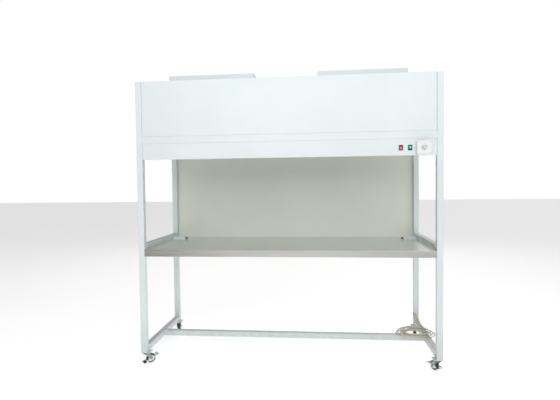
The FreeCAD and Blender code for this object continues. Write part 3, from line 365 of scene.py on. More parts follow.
def brush_effect():
    """Brushed metal: fine lines along one direction, broken into short strokes."""
    def build(g, given):
        fine = g.vector("MULTIPLY", g.place(), given["Stretch"])[0]
        hair = g.noise(fine, 1.0, 4.0, 0.7)
        band = g.noise(g.vector("MULTIPLY", fine, (0.16, 0.16, 0.16))[0], 1.0, 2.0, 0.5)
        return {"Line": hair, "Band": g.span(band, 0.3, 0.7)}
    return effect("brushed_lines", [("Stretch", "vector", (9.0, 1500.0, 1500.0))],
                  [("Line", "number"), ("Band", "number")], build)


def lip_painted_shade_effect():
    """Painted shade on steel: a warm grey film on the face that looks to the front, thickest at its left end,
    standing in for the lip's darker, warmer reflections.
    """
    def build(g, given):
        front = g.span(g.facing("Y"), -0.9, -0.4, 1.0, 0.0)
        across = g.part(g.place(), "X")
        left = g.span(across, -0.95, -0.25, 0.62, 0.30)
        right = g.span(across, 0.10, 0.95, 0.0, 0.14)
        shade_breakup = g.noise(g.stretched((2.0, 30.0, 30.0)), 1.0, 4.0, 0.6)
        cover = g.math("MULTIPLY", g.math("ADD", left, right), g.span(shade_breakup, 0.25, 0.75, 0.8, 1.1))
        mask = g.math("MULTIPLY", front, cover, clamp=True)
        return {"Colour": g.blend(mask, given["Colour"], (0.085, 0.070, 0.045, 1.0)), "Mask": mask}
    return effect("lip_painted_shade", [("Colour", "colour", (0.8, 0.8, 0.8, 1.0))],
                  [("Colour", "colour"), ("Mask", "number")], build)


def place_group(graph, group, **values):
    """A node group placed in a material, with its values; returns its outputs."""
    node = graph.add("ShaderNodeGroup", node_tree=group)
    for name, value in values.items():
        graph.feed(node.inputs[name], value)
    return node.outputs


def finish(name, build):
    """A material whose Principled shader is set up by a function of its graph and its inputs."""
    if name in bpy.data.materials:
        return bpy.data.materials[name]
    material = bpy.data.materials.new(name)
    material.use_nodes = True
    graph = Graph(material.node_tree)
    shader = material.node_tree.nodes["Principled BSDF"]
    build(graph, shader.inputs)
    return material


def bump(graph, inputs, height, strength, distance):
    """A small relief."""
    node = graph.add("ShaderNodeBump")
    node.inputs["Strength"].default_value = strength
    node.inputs["Distance"].default_value = distance
    graph.feed(node.inputs["Height"], height)
    graph.feed(inputs["Normal"], node.outputs[0])


def settle(g, inputs, base, rough, amount, weight):
    """Lays dust over a base colour; by its weight the dust also adds to the roughness. Returns its mask."""
    settled = place_group(g, dust_effect(), Colour=base, Amount=amount)
    g.feed(inputs["Base Color"], settled["Colour"])
    g.feed(inputs["Roughness"], g.math("ADD", rough, g.math("MULTIPLY", settled["Mask"], weight)))
    return settled["Mask"]


def paint(name, tone, roughness=0.36, grime=False):
    """Powder coat with orange peel, faint clouding, smudges, dust and, near the floor, grime."""
    def build(g, inputs):
        peel = place_group(g, peel_effect())
        smudge = place_group(g, touch_effect(), Amount=0.6)["Mask"]
        base = g.blend(peel["Cloud"], rgba(tone), rgba(tone, 0.955))
        if grime:
            base = place_group(g, grime_effect(), Colour=base, Bottom=0.02, Top=0.34)["Colour"]
        settle(g, inputs, base, g.math("MULTIPLY_ADD", smudge, 0.10, roughness), 0.25, 0.4)
        inputs["IOR"].default_value = 1.5
        bump(g, inputs, peel["Height"], 0.18, 0.0004)
    return finish(name, build)


def stainless(name, tone, stretch, roughness=0.27, painted_lip_shade=False):
    """Brushed metal with hairlines, uneven bands and wipe marks; its front lip may carry painted shade."""
    def build(g, inputs):
        lines = place_group(g, brush_effect(), Stretch=stretch)
        smudge = place_group(g, touch_effect(), Scale=0.8, Amount=0.9)["Mask"]
        base = g.blend(g.math("MULTIPLY", lines["Line"], 0.35), rgba(tone), rgba(tone, 0.86))
        # Painted shade: the lip's darker, warmer reflections, heaviest at its left end, painted into its
        # colour.
        if painted_lip_shade:
            base = place_group(g, lip_painted_shade_effect(), Colour=base)["Colour"]
        rough = g.math("MULTIPLY_ADD", lines["Band"], 0.04, roughness)
        rough = g.math("ADD", rough, g.math("MULTIPLY", smudge, 0.07))
        mask = settle(g, inputs, base, rough, 0.10, 0.3)
        g.feed(inputs["Metallic"], g.math("SUBTRACT", 1.0, g.math("MULTIPLY", mask, 0.8)))
        bump(g, inputs, lines["Line"], 0.10, 0.0001)
    return finish(name, build)


def galvanised():
    """Galvanised sheet: grey spangles that differ in tone and gloss."""
    def build(g, inputs):
        cells = g.add("ShaderNodeTexVoronoi", feature="F1")
        g.feed(cells.inputs["Vector"], g.place())
        cells.inputs["Scale"].default_value = 85.0
        tone = g.add("ShaderNodeSeparateColor")
        g.feed(tone.inputs[0], cells.outputs["Color"])
        dark, pale = (0.47, 0.49, 0.50, 1.0), (0.66, 0.68, 0.69, 1.0)
        g.feed(inputs["Base Color"], g.blend(tone.outputs[0], dark, pale))
        g.feed(inputs["Roughness"], g.span(tone.outputs[1], 0.0, 1.0, 0.30, 0.52))
        inputs["Metallic"].default_value = 1.0
        bump(g, inputs, g.noise(g.place(), 300.0), 0.1, 0.0003)
    return finish("galvanised_sheet", build)


def plated(name, tone, low=0.0, high=0.1):
    """Bright zinc plate: mirror-like with a fine grain, grime in its lower part."""
    def build(g, inputs):
        grain = g.noise(g.place(), 700.0, 3.0, 0.6)
        cloud = g.span(g.noise(g.place(), 45.0, 4.0, 0.6), 0.35, 0.7)
        base = g.blend(cloud, rgba(tone), rgba(tone, 0.78))
        film = place_group(g, grime_effect(), Colour=base, Bottom=low, Top=high)
        g.feed(inputs["Base Color"], film["Colour"])
        g.feed(inputs["Metallic"], g.math("SUBTRACT", 1.0, g.math("MULTIPLY", film["Mask"], 0.7)))
        g.feed(inputs["Roughness"], g.math("ADD", g.math("MULTIPLY_ADD", cloud, 0.14, 0.16),
                                           g.math("MULTIPLY", film["Mask"], 0.4)))
        bump(g, inputs, grain, 0.12, 0.0002)
    return finish(name, build)


def moulded(name, tone, roughness=0.42, grain=0.12, dust=0.2):
    """Moulded plastic: a fine spark-eroded grain, slight change of tone, dust on top."""
    def build(g, inputs):
        texture = g.noise(g.place(), 1500.0, 3.0, 0.6)
        cloud = g.noise(g.place(), 60.0, 3.0, 0.6)
        base = g.blend(cloud, rgba(tone, 0.92), rgba(tone))
        settle(g, inputs, base, g.math("MULTIPLY_ADD", cloud, 0.10, roughness), dust, 0.3)
        bump(g, inputs, texture, grain, 0.0002)
    return finish(name, build)


def lit_lens(name, tone, core, node):
    """A rocker's lens, lit from behind: its lamp glows in the middle and the rim stays deep in colour.

    The glow falls off with the distance from the lens's middle, seen along its pressing direction.
    """
    low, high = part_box(node)
    middle = (low + high) / 2

    def build(g, inputs):
        flat = g.vector("MULTIPLY", g.vector("SUBTRACT", g.place(), middle)[0], (1.0, 0.0, 0.85))
        far = g.vector("LENGTH", flat[0])["Value"]
        ribs = g.noise(g.stretched((900.0, 900.0, 900.0)), 1.0, 2.0)
        glow = g.math("MULTIPLY", g.span(far, 0.001, 0.0095, 1.0, 0.0),
                      g.span(ribs, 0.2, 0.8, 0.85, 1.0))
        # The base colour is lighter in the middle too: painted light from the lamp behind, with painted shade
        # at the rim.
        g.feed(inputs["Base Color"], g.blend(glow, rgba(tone, 0.35), rgba(tone)))
        g.feed(inputs["Emission Color"], g.blend(glow, rgba(tone, 0.06), rgba(core)))
        inputs["Emission Strength"].default_value = 1.0
        g.feed(inputs["Roughness"], g.span(ribs, 0.2, 0.8, 0.14, 0.22))
        bump(g, inputs, ribs, 0.05, 0.0002)
    return finish(name, build)


def rubber(name, tone, dust=0.5):
    """Black rubber: matt, greyer where it is scuffed."""
    def build(g, inputs):
        scuff = g.span(g.noise(g.stretched((1.0, 1.0, 1.0)), 130.0, 5.0, 0.7), 0.48, 0.75)
        base = g.blend(scuff, rgba(tone), (0.11, 0.105, 0.10, 1.0))
        settled = place_group(g, dust_effect(), Colour=base, Amount=dust)
        g.feed(inputs["Base Color"], settled["Colour"])
        g.feed(inputs["Roughness"], g.math("MULTIPLY_ADD", scuff, 0.25, 0.55))
        bump(g, inputs, g.noise(g.place(), 900.0, 3.0), 0.25, 0.0002)
    return finish(name, build)


def filter_paper(name, tone):
    """Glass-fibre paper: white with short crossing fibres."""
    def build(g, inputs):
        along = g.noise(g.stretched((60.0, 1200.0, 1200.0)), 1.0, 4.0, 0.7)
        across = g.noise(g.stretched((1200.0, 90.0, 1200.0)), 1.0, 4.0, 0.7)
        fibre = g.math("MAXIMUM", along, across)
        g.feed(inputs["Base Color"], g.blend(g.span(fibre, 0.45, 0.7), rgba(tone, 0.86), rgba(tone)))
        g.feed(inputs["Roughness"], g.span(fibre, 0.3, 0.8, 0.85, 0.95))
        bump(g, inputs, fibre, 0.35, 0.0004)
    return finish(name, build)


def frosted_glass():
    """The lamp's frosted tube: a milky white with a faint haze."""
    def build(g, inputs):
        haze = g.noise(g.stretched((4.0, 40.0, 40.0)), 1.0, 3.0)
        g.feed(inputs["Base Color"], g.blend(haze, (0.86, 0.88, 0.88, 1.0), (0.93, 0.94, 0.94, 1.0)))
        g.feed(inputs["Roughness"], g.span(haze, 0.2, 0.8, 0.16, 0.30))
        inputs["Coat Weight"].default_value = 0.4
        bump(g, inputs, haze, 0.05, 0.0003)
    return finish("frosted_tube", build)


def enamel(name, tone):
    """Dark hammered enamel of the motors."""
    def build(g, inputs):
        cells = g.add("ShaderNodeTexVoronoi", feature="SMOOTH_F1")
        g.feed(cells.inputs["Vector"], g.place())
        cells.inputs["Scale"].default_value = 260.0
        g.feed(inputs["Base Color"], g.blend(cells.outputs["Distance"], rgba(tone), rgba(tone, 1.5)))
        g.feed(inputs["Roughness"], g.span(cells.outputs["Distance"], 0.0, 0.6, 0.28, 0.45))
        inputs["Metallic"].default_value = 0.3
        bump(g, inputs, cells.outputs["Distance"], 0.4, 0.0004)
    return finish(name, build)


def dress(material, *names):
    """Gives CAD nodes their material."""
    for name in names:
        mesh = NODES[name].data
        mesh.materials.clear()
        mesh.materials.append(material)


def colours():
    """The finish settings of the scene."""
    return bpy.context.scene.cabinet_finish


def details():
    """The detail settings of the scene."""
    return bpy.context.scene.cabinet_detail


# Places that several operators share

FRONT_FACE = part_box("post_front_left")[0].y
HALF_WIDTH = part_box("post_front_right")[1].x
POSTS = [f"post_{end}_{side}" for end in ("front", "rear") for side in ("left", "right")]
RAILS = ["lower_rail_left", "lower_rail_right", "worktop_rail_left", "worktop_rail_right"]


class CABINET_OT_frame(bpy.types.Operator):
    """Paints the posts, rails, stretcher and worktop frame."""

    bl_idname = "cabinet.frame"
    bl_label = "Paint the frame"

    def execute(self, context):
        tone = colours().paint
        dress(paint("frame_paint", tone, grime=True), *POSTS, "lower_rail_left", "lower_rail_right",
              "foot_stretcher")
        dress(paint("rail_paint", tone), "worktop_rail_left", "worktop_rail_right", "worktop_subframe")
        return {"FINISHED"}


class CABINET_OT_header(bpy.types.Operator):
    """Paints the header's skins, the back panel and the hoods."""

    bl_idname = "cabinet.header"
    bl_label = "Paint the header"

    def execute(self, context):
        tone = colours().paint
        dress(paint("header_paint", tone, 0.32), "front_cover", "header_rail", "control_band",
              "header_side_left", "header_side_right", "header_top", "intake_hood_left",
              "intake_hood_right")
        dress(paint("lining_paint", colours().lining, 0.34), "back_panel", "header_back", "diffuser_grille",
              "lamp_batten")
        dress(frosted_glass(), "lamp_tube")
        self.gasket()
        return {"FINISHED"}

    def gasket(self):
        """A pale foam strip in the seam under the front cover: a rounded bar with closed ends.

        Its section is x^4 + y^4 = 1, half as high as the seam and pushed back from the paint.
        """
        cover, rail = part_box("front_cover"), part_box("header_rail")
        low, high = rail[1].z, cover[0].z
        end_gap, pushed_back, half_depth, clear = 0.001, 0.0042, 0.0035, 0.0001
        middle, half = (low + high) / 2, (high - low) / 2 - clear
        t = np.linspace(0.0, 2.0 * np.pi, 24, endpoint=False)
        across = np.sign(np.cos(t)) * np.sqrt(np.abs(np.cos(t)))
        upward = np.sign(np.sin(t)) * np.sqrt(np.abs(np.sin(t)))
        along = np.linspace(cover[0].x + end_gap, cover[1].x - end_gap, 40)
        grow = np.concatenate([[0.0], np.ones(len(along)), [0.0]])[:, None]
        along = np.concatenate([along[:1], along, along[-1:]])[:, None]
        points = np.stack([along + 0.0 * t, FRONT_FACE + pushed_back + half_depth * across * grow,
                           middle + half * upward * grow], axis=-1)
        foam = moulded("gasket_foam", (0.74, 0.78, 0.78), 0.7, 0.3)
        grid("seam_gasket", points, foam, "frame")


class CABINET_OT_air(bpy.types.Operator):
    """Finishes the blowers, the plenum and the filters."""

    bl_idname = "cabinet.air"
    bl_label = "Finish the air path"

    def execute(self, context):
        for side in ("left", "right"):
            dress(galvanised(), f"blower_scroll_{side}", f"blower_impeller_{side}")
            dress(enamel("motor_enamel", (0.055, 0.065, 0.075)), f"blower_motor_{side}")
            dress(filter_paper("pleat_paper", (0.90, 0.90, 0.87)), f"filter_pack_{side}")
            dress(filter_paper("prefilter_wool", (0.84, 0.87, 0.89)), f"prefilter_{side}")
            dress(stainless("filter_aluminium", (0.70, 0.71, 0.72), (6.0, 700.0, 700.0), 0.34),
                  f"filter_frame_{side}")
        dress(galvanised(), "blower_deck")
        return {"FINISHED"}


class CABINET_OT_worktop(bpy.types.Operator):
    """Finishes the stainless worktop and the rear brackets with their knobs."""

    bl_idname = "cabinet.worktop"
    bl_label = "Finish the worktop"

    def execute(self, context):
        # The worktop's front lip gets painted shade, darkest at its left end.
        dress(stainless("worktop_steel", colours().steel, (9.0, 1500.0, 1500.0), painted_lip_shade=True), "worktop")
        dress(paint("bracket_paint", colours().paint), "rear_brackets")
        dress(moulded("bracket_knob_black", (0.022, 0.022, 0.024)), "bracket_knobs")
        return {"FINISHED"}


def weld_bead(start, end, first, second, leg, seed):
    """A fillet weld from start to end between two faces whose outward directions are first and second.

    At s along the run and q from 0 to 1 across it, the point is start + s * run + leg * w(s) *
    (first * cos(q * 90 deg)^1.4 + second * sin(q * 90 deg)^1.4), where w ripples like laid coins.
    """
    start, end, first, second = (np.array(item, float) for item in (start, end, first, second))
    run = np.linalg.norm(end - start)
    step, coin, fade = 0.00045, 0.0026, 0.0015
    s = np.linspace(0.0, 1.0, max(12, int(run / step)))
    ripple = 0.90 + 0.10 * np.abs(np.sin(np.pi * (run / coin) * s + seed))
    taper = np.clip(np.minimum(s, 1.0 - s) * run / fade, 0.15, 1.0)
    width = leg * ripple * taper
    q = np.linspace(0.0, 0.5 * np.pi, 7)
    across = np.cos(q)[:, None] ** 1.4 * first + np.sin(q)[:, None] ** 1.4 * second
    crown = np.concatenate([across, np.zeros((1, 3))])
    middle = start + s[:, None] * (end - start)
    return middle[:, None] + width[:, None, None] * crown[None]


class CABINET_OT_welds(bpy.types.Operator):
    """Lays the fillet welds where rails meet posts and where the stretcher meets the lower rails."""

    bl_idname = "cabinet.welds"
    bl_label = "Lay the welds"

    def execute(self, context):
        leg = details().weld_leg
        material = paint("weld_paint", colours().paint, grime=True)
        vertices, faces, count, runs = [], [], 0, []
        inset = 0.003
        for rail in RAILS:
            low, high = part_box(rail)
            left, right, bottom, top = low.x + inset, high.x - inset, low.z + inset, high.z - inset
            inner, side = (low.x, -1.0) if low.x > 0 else (high.x, 1.0)
            for y, along in ((low.y, 1.0), (high.y, -1.0)):
                for z, up in ((high.z, 1.0), (low.z, -1.0)):
                    runs.append(((left, y, z), (right, y, z), (0, along, 0), (0, 0, up)))
                runs.append(((inner, y, bottom), (inner, y, top), (0, along, 0), (side, 0, 0)))
        low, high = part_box("foot_stretcher")
        front, back, bottom, top = low.y + inset, high.y - inset, low.z + inset, high.z - inset
        for x, along in ((low.x, 1.0), (high.x, -1.0)):
            for z, up in ((low.z, -1.0), (high.z, 1.0)):
                runs.append(((x, front, z), (x, back, z), (along, 0, 0), (0, 0, up)))
            for y, out in ((low.y, -1.0), (high.y, 1.0)):
                runs.append(((x, y, bottom), (x, y, top), (along, 0, 0), (0, out, 0)))
        for number, run in enumerate(runs):
            points = weld_bead(*run, leg, 0.7 * number)
            rows, columns = points.shape[:2]
            vertices.append(points.reshape(-1, 3))
            faces.append(quads(rows, columns, around=True) + count)
            count += rows * columns
        piece("frame_welds", np.concatenate(vertices), np.concatenate(faces), material, "frame",
              80.0)
        return {"FINISHED"}


def screw_head(radius):
    """A pan head with a cross recess on a polar grid.

    Height is 0.55 R * (1 - p^4)^0.5 at p from 0 to 1 of the radius R; within the cross, where the
    smaller of |x| and |y| is under 0.135 R and p under 0.55, it drops by 0.3 R.
    """
    share = np.array([0.0, 0.08, 0.13, 0.2, 0.36, 0.53, 0.57, 0.72, 0.86, 0.95, 1.0, 1.0])
    turn = np.linspace(0.0, 2.0 * np.pi, 32, endpoint=False)
    x, y = share[:, None] * np.cos(turn), share[:, None] * np.sin(turn)
    height = 0.55 * np.sqrt(np.clip(1.0 - share ** 4, 0.0, 1.0))[:, None] + 0.0 * turn
    height[-1] = -0.04
    cross = (np.minimum(np.abs(x), np.abs(y)) < 0.135) & (share[:, None] < 0.55)
    height = height - 0.3 * cross
    points = radius * np.stack([x, y, height], axis=-1)
    return points.reshape(-1, 3), quads(len(share), len(turn), around=True)


class CABINET_OT_screws(bpy.types.Operator):
    """Sets the pan-head screws of the rear panels, the hoods and the control plate."""

    bl_idname = "cabinet.screws"
    bl_label = "Set the screws"

    def execute(self, context):
        heads, axes = [], []
        skin, side_margin, end_margin, hood_margin, plate_margin = 0.0012, 0.020, 0.045, 0.012, 0.008
        x = HALF_WIDTH - side_margin
        for (low, high), count in ((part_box("back_panel"), 6), (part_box("header_back"), 4)):
            for z in np.linspace(low.z + end_margin, high.z - end_margin, count):
                for side in (-x, x):
                    heads.append((side, low.y + skin, z))
                    axes.append((0.0, 1.0, 0.0))
        for name in ("intake_hood_left", "intake_hood_right"):
            low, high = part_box(name)
            for share in (0.12, 0.5, 0.88):
                place = low.x + share * (high.x - low.x)
                heads += [(place, low.y, low.z + hood_margin), (place, high.y, low.z + hood_margin)]
                axes += [(0.0, -1.0, 0.0), (0.0, 1.0, 0.0)]
        low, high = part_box("control_plate")
        for x in (low.x + plate_margin, high.x - plate_margin):
            for z in (low.z + plate_margin, high.z - plate_margin):
                heads.append((x, low.y, z))
                axes.append((0.0, -1.0, 0.0))
        shape, faces = screw_head(details().screw_radius)
        vertices, faces = copies(shape, faces, np.array(heads, float), np.array(axes, float))
        piece("panel_screws", vertices, faces, plated("screw_zinc", colours().zinc, -2.0, -1.0), "frame",
              30.0)
        return {"FINISHED"}


class CABINET_OT_controls(bpy.types.Operator):
    """Finishes the rockers, the control box and plate, and makes the fluted knob and its scale."""

    bl_idname = "cabinet.controls"
    bl_label = "Finish the controls"

    def execute(self, context):
        tones = colours()
        dress(moulded("switch_black", (0.016, 0.016, 0.018), 0.35), "red_rocker_bezel", "green_rocker_bezel")
        dress(lit_lens("red_rocker_lens", tones.red, (1.00, 0.17, 0.22), "red_rocker"), "red_rocker")
        dress(lit_lens("green_rocker_lens", tones.green, (0.04, 0.86, 0.66), "green_rocker"), "green_rocker")
        dress(moulded("box_plastic", (0.80, 0.82, 0.81), 0.38), "control_box", "control_plate")
        self.knob(moulded("knob_plastic", tones.knob, 0.36))
        self.scale()
        return {"FINISHED"}

    def knob(self, plastic):
        """Fluted knob: radius R(z) * (1 - 0.085 * f(z) * |sin(9 t)|^3) about the spindle, with a raised rim
        round its flat cap."""
        low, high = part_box("speed_knob")
        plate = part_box("control_plate")
        x, z = (low.x + high.x) / 2, (low.z + high.z) / 2
        radius, rise = (high.x - low.x) / 2, plate[0].y - low.y
        profile = np.array([
            (0.35, 0.03, 0), (0.97, 0.03, 0), (1.0, 0.06, 0), (1.0, 0.20, 0), (0.96, 0.25, 0),
            (0.84, 0.28, 0.0), (0.81, 0.32, 0.5), (0.80, 0.50, 1), (0.785, 0.75, 1), (0.77, 0.90, 0.8),
            (0.73, 0.965, 0.3), (0.66, 0.99, 0), (0.55, 0.985, 0), (0.50, 0.965, 0), (0.30, 0.96, 0),
            (0.0, 0.96, 0)])
        turn = np.linspace(0.0, 2.0 * np.pi, 180, endpoint=False)
        flute = 0.085 * np.abs(np.sin(9.0 * turn)) ** 3
        r = radius * profile[:, :1] * (1.0 - profile[:, 2:] * flute)
        points = np.stack([x + r * np.cos(turn), plate[0].y - rise * profile[:, 1:2] + 0.0 * turn,
                           z + r * np.sin(turn)], axis=-1)
        made = grid("fluted_knob", points, plastic, "knob")
        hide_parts("speed_knob")
        half_mark, mark_depth = 0.0006, 0.0012
        mark = np.array([(-half_mark, 0.52), (half_mark, 0.52), (half_mark, 0.64), (-half_mark, 0.64)])
        rim = np.stack([x + mark[:, 0], np.full(4, plate[0].y - rise), z + radius * mark[:, 1]], axis=-1)
        box = np.stack([rim, rim + np.array([0.0, mark_depth, 0.0])])
        piece("knob_mark", box.reshape(-1, 3), prism(2), moulded("mark_black", (0.03, 0.03, 0.03)), "knob")

    def scale(self):
        """Ticks of the speed scale: short bars at even angles over 270 degrees round the spindle."""
        low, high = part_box("control_plate")
        x, z = (low.x + high.x) / 2, (low.z + high.z) / 2
        count, inner, short, long_, half_width, proud = 11, 0.0205, 0.0245, 0.0265, 0.00045, 0.00025
        angles = np.radians(np.linspace(-45.0, 225.0, count))
        outer = np.where(np.arange(count) % 5 == 0, long_, short)
        out = np.stack([np.cos(angles), np.sin(angles)], axis=-1)
        side = half_width * np.stack([-out[:, 1], out[:, 0]], axis=-1)
        a, b = inner * out, outer[:, None] * out
        flat = np.stack([a - side, b - side, b + side, a + side], axis=1)
        front = np.stack([x + flat[..., 0], np.full(flat.shape[:2], low.y - proud), z + flat[..., 1]],
                         axis=-1)
        box = np.stack([front, front + np.array([0.0, 2 * proud, 0.0])], axis=1).reshape(-1, 3)
        piece("speed_scale", box, repeated(prism(2), 8, count), moulded("scale_ink", (0.05, 0.06, 0.07)),
              "frame")


# Where each caster stands, and its heading at rest in degrees; the axle lies square to it.
CASTERS = [("front", "left", 42.0), ("front", "right", 115.0), ("rear", "left", 100.0),
           ("rear", "right", 80.0)]
HALF_WHEEL = 0.012


class CABINET_OT_casters(bpy.types.Operator):
    """Finishes the forks and levers, and makes each wheel's tyre, hub and bearing."""

    bl_idname = "cabinet.casters"
    bl_label = "Finish the casters"

    def execute(self, context):
        zinc = plated("caster_zinc", colours().fork, 0.0, 0.03)
        dress(plated("lever_zinc", colours().zinc, -0.02, 0.01), "brake_lever_left", "brake_lever_right")
        for end, side, heading in CASTERS:
            dress(zinc, f"caster_fork_{end}_{side}")
            self.wheel(end, side, heading, zinc)
        return {"FINISHED"}

    def wheel(self, end, side, heading, zinc):
        """Tyre, hub and bearing of one wheel: closed profiles (radius, height) turned about the axle."""
        node, place = f"caster_wheel_{end}_{side}", f"{end}_{side}"
        low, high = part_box(node)
        size = ((high.z - low.z) / 2, HALF_WHEEL)
        axis = (-math.sin(math.radians(heading)), math.cos(math.radians(heading)), 0.0)
        tread = mirrored(np.array([
            (0.68, -0.80), (0.68, -0.96), (0.71, -1.0), (0.80, -1.0), (0.88, -0.96), (0.945, -0.84),
            (0.982, -0.62), (0.994, -0.30), (1.0, 0.0)]))
        web = mirrored(np.array([
            (0.20, -0.98), (0.30, -0.98), (0.33, -0.93), (0.35, -0.82), (0.39, -0.76), (0.57, -0.74),
            (0.61, -0.78), (0.63, -0.88), (0.685, -0.90)]))
        ring = mirrored(np.array([(0.145, -0.99), (0.195, -0.99), (0.20, -0.96)]))
        for name, profile, segments, material, slot in (
                ("tyre", tread, 112, rubber("tyre_rubber", colours().tyre), "wheel_rubber"),
                ("hub", web, 112, moulded("hub_plastic", colours().hub, 0.4), "white_plastic"),
                ("bearing", ring, 64, zinc, "zinc")):
            points = turned(lathe(profile * size, segments), (low + high) / 2, axis)
            grid(f"{name}_{place}", points, material, f"wheel_{place}", along=True)
        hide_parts(node)


# The mains lead's route: from the gland to the coil, and from the coil to the plug.
LEAD_OUT = [(0.986, 0.3015, 0.140), (0.986, 0.2615, 0.140), (0.984, 0.1955, 0.1274), (0.998, 0.1355, 0.1274)]
LEAD_BACK = [(0.941, 0.1305, 0.142), (0.967, 0.1575, 0.133), (0.968, 0.2035, 0.1274), (0.966, 0.2495, 0.130),
             (0.964, 0.2805, 0.153)]
# Each turn of the coil: half width, half depth, layer, and how far its middle lies off the coil's middle.
TURNS = np.array([
    (0.137, 0.109, 0, 0.000, 0.000), (0.108, 0.082, 0, 0.002, -0.001), (0.082, 0.060, 0, -0.002, 0.002),
    (0.072, 0.052, 1, 0.001, -0.002), (0.093, 0.070, 1, -0.001, 0.001), (0.103, 0.079, 2, 0.002, 0.002),
    (0.125, 0.095, 1, -0.001, -0.001), (0.132, 0.106, 2, 0.000, 0.000)])
COIL_MIDDLE = (0.903, 0.0215, 0.1268)
LAYER = 0.0088


def coil_points():
    """Sixteen points a turn, clockwise from above; a turn keeps its oval for 300 degrees and then slides
    to the next one over 60 degrees. The third turn climbs late, over the last 24 of them.

    Turns are counted from 110 degrees, and the first point stands at 20. A point at angle t lies at
    half width / 0.985 * cos t and half depth / 0.985 * sin t, because the curve runs inside its points.
    """
    points = []
    angle = 20.0
    while True:
        turn = int((110.0 - angle) // 360.0)
        phase = (110.0 - angle) - 360.0 * turn
        if turn >= len(TURNS) - 1:
            break
        late = 336.0 if turn == 2 else 300.0
        slide, rise = (np.clip((phase - start) / (360.0 - start), 0.0, 1.0) for start in (300.0, late))
        slide, rise = (step * step * (3.0 - 2.0 * step) for step in (slide, rise))
        here, after = TURNS[turn], TURNS[turn + 1]
        half_x, half_y, _, off_x, off_y = here * (1.0 - slide) + after * slide
        layer = here[2] * (1.0 - rise) + after[2] * rise
        t = math.radians(angle)
        points.append((COIL_MIDDLE[0] + off_x + half_x / 0.985 * math.cos(t),
                       COIL_MIDDLE[1] + off_y + half_y / 0.985 * math.sin(t),
                       COIL_MIDDLE[2] + LAYER * layer))
        angle -= 22.5
    points.append((COIL_MIDDLE[0] - 0.004, COIL_MIDDLE[1] + 0.112, COIL_MIDDLE[2] + 2 * LAYER))
    return points


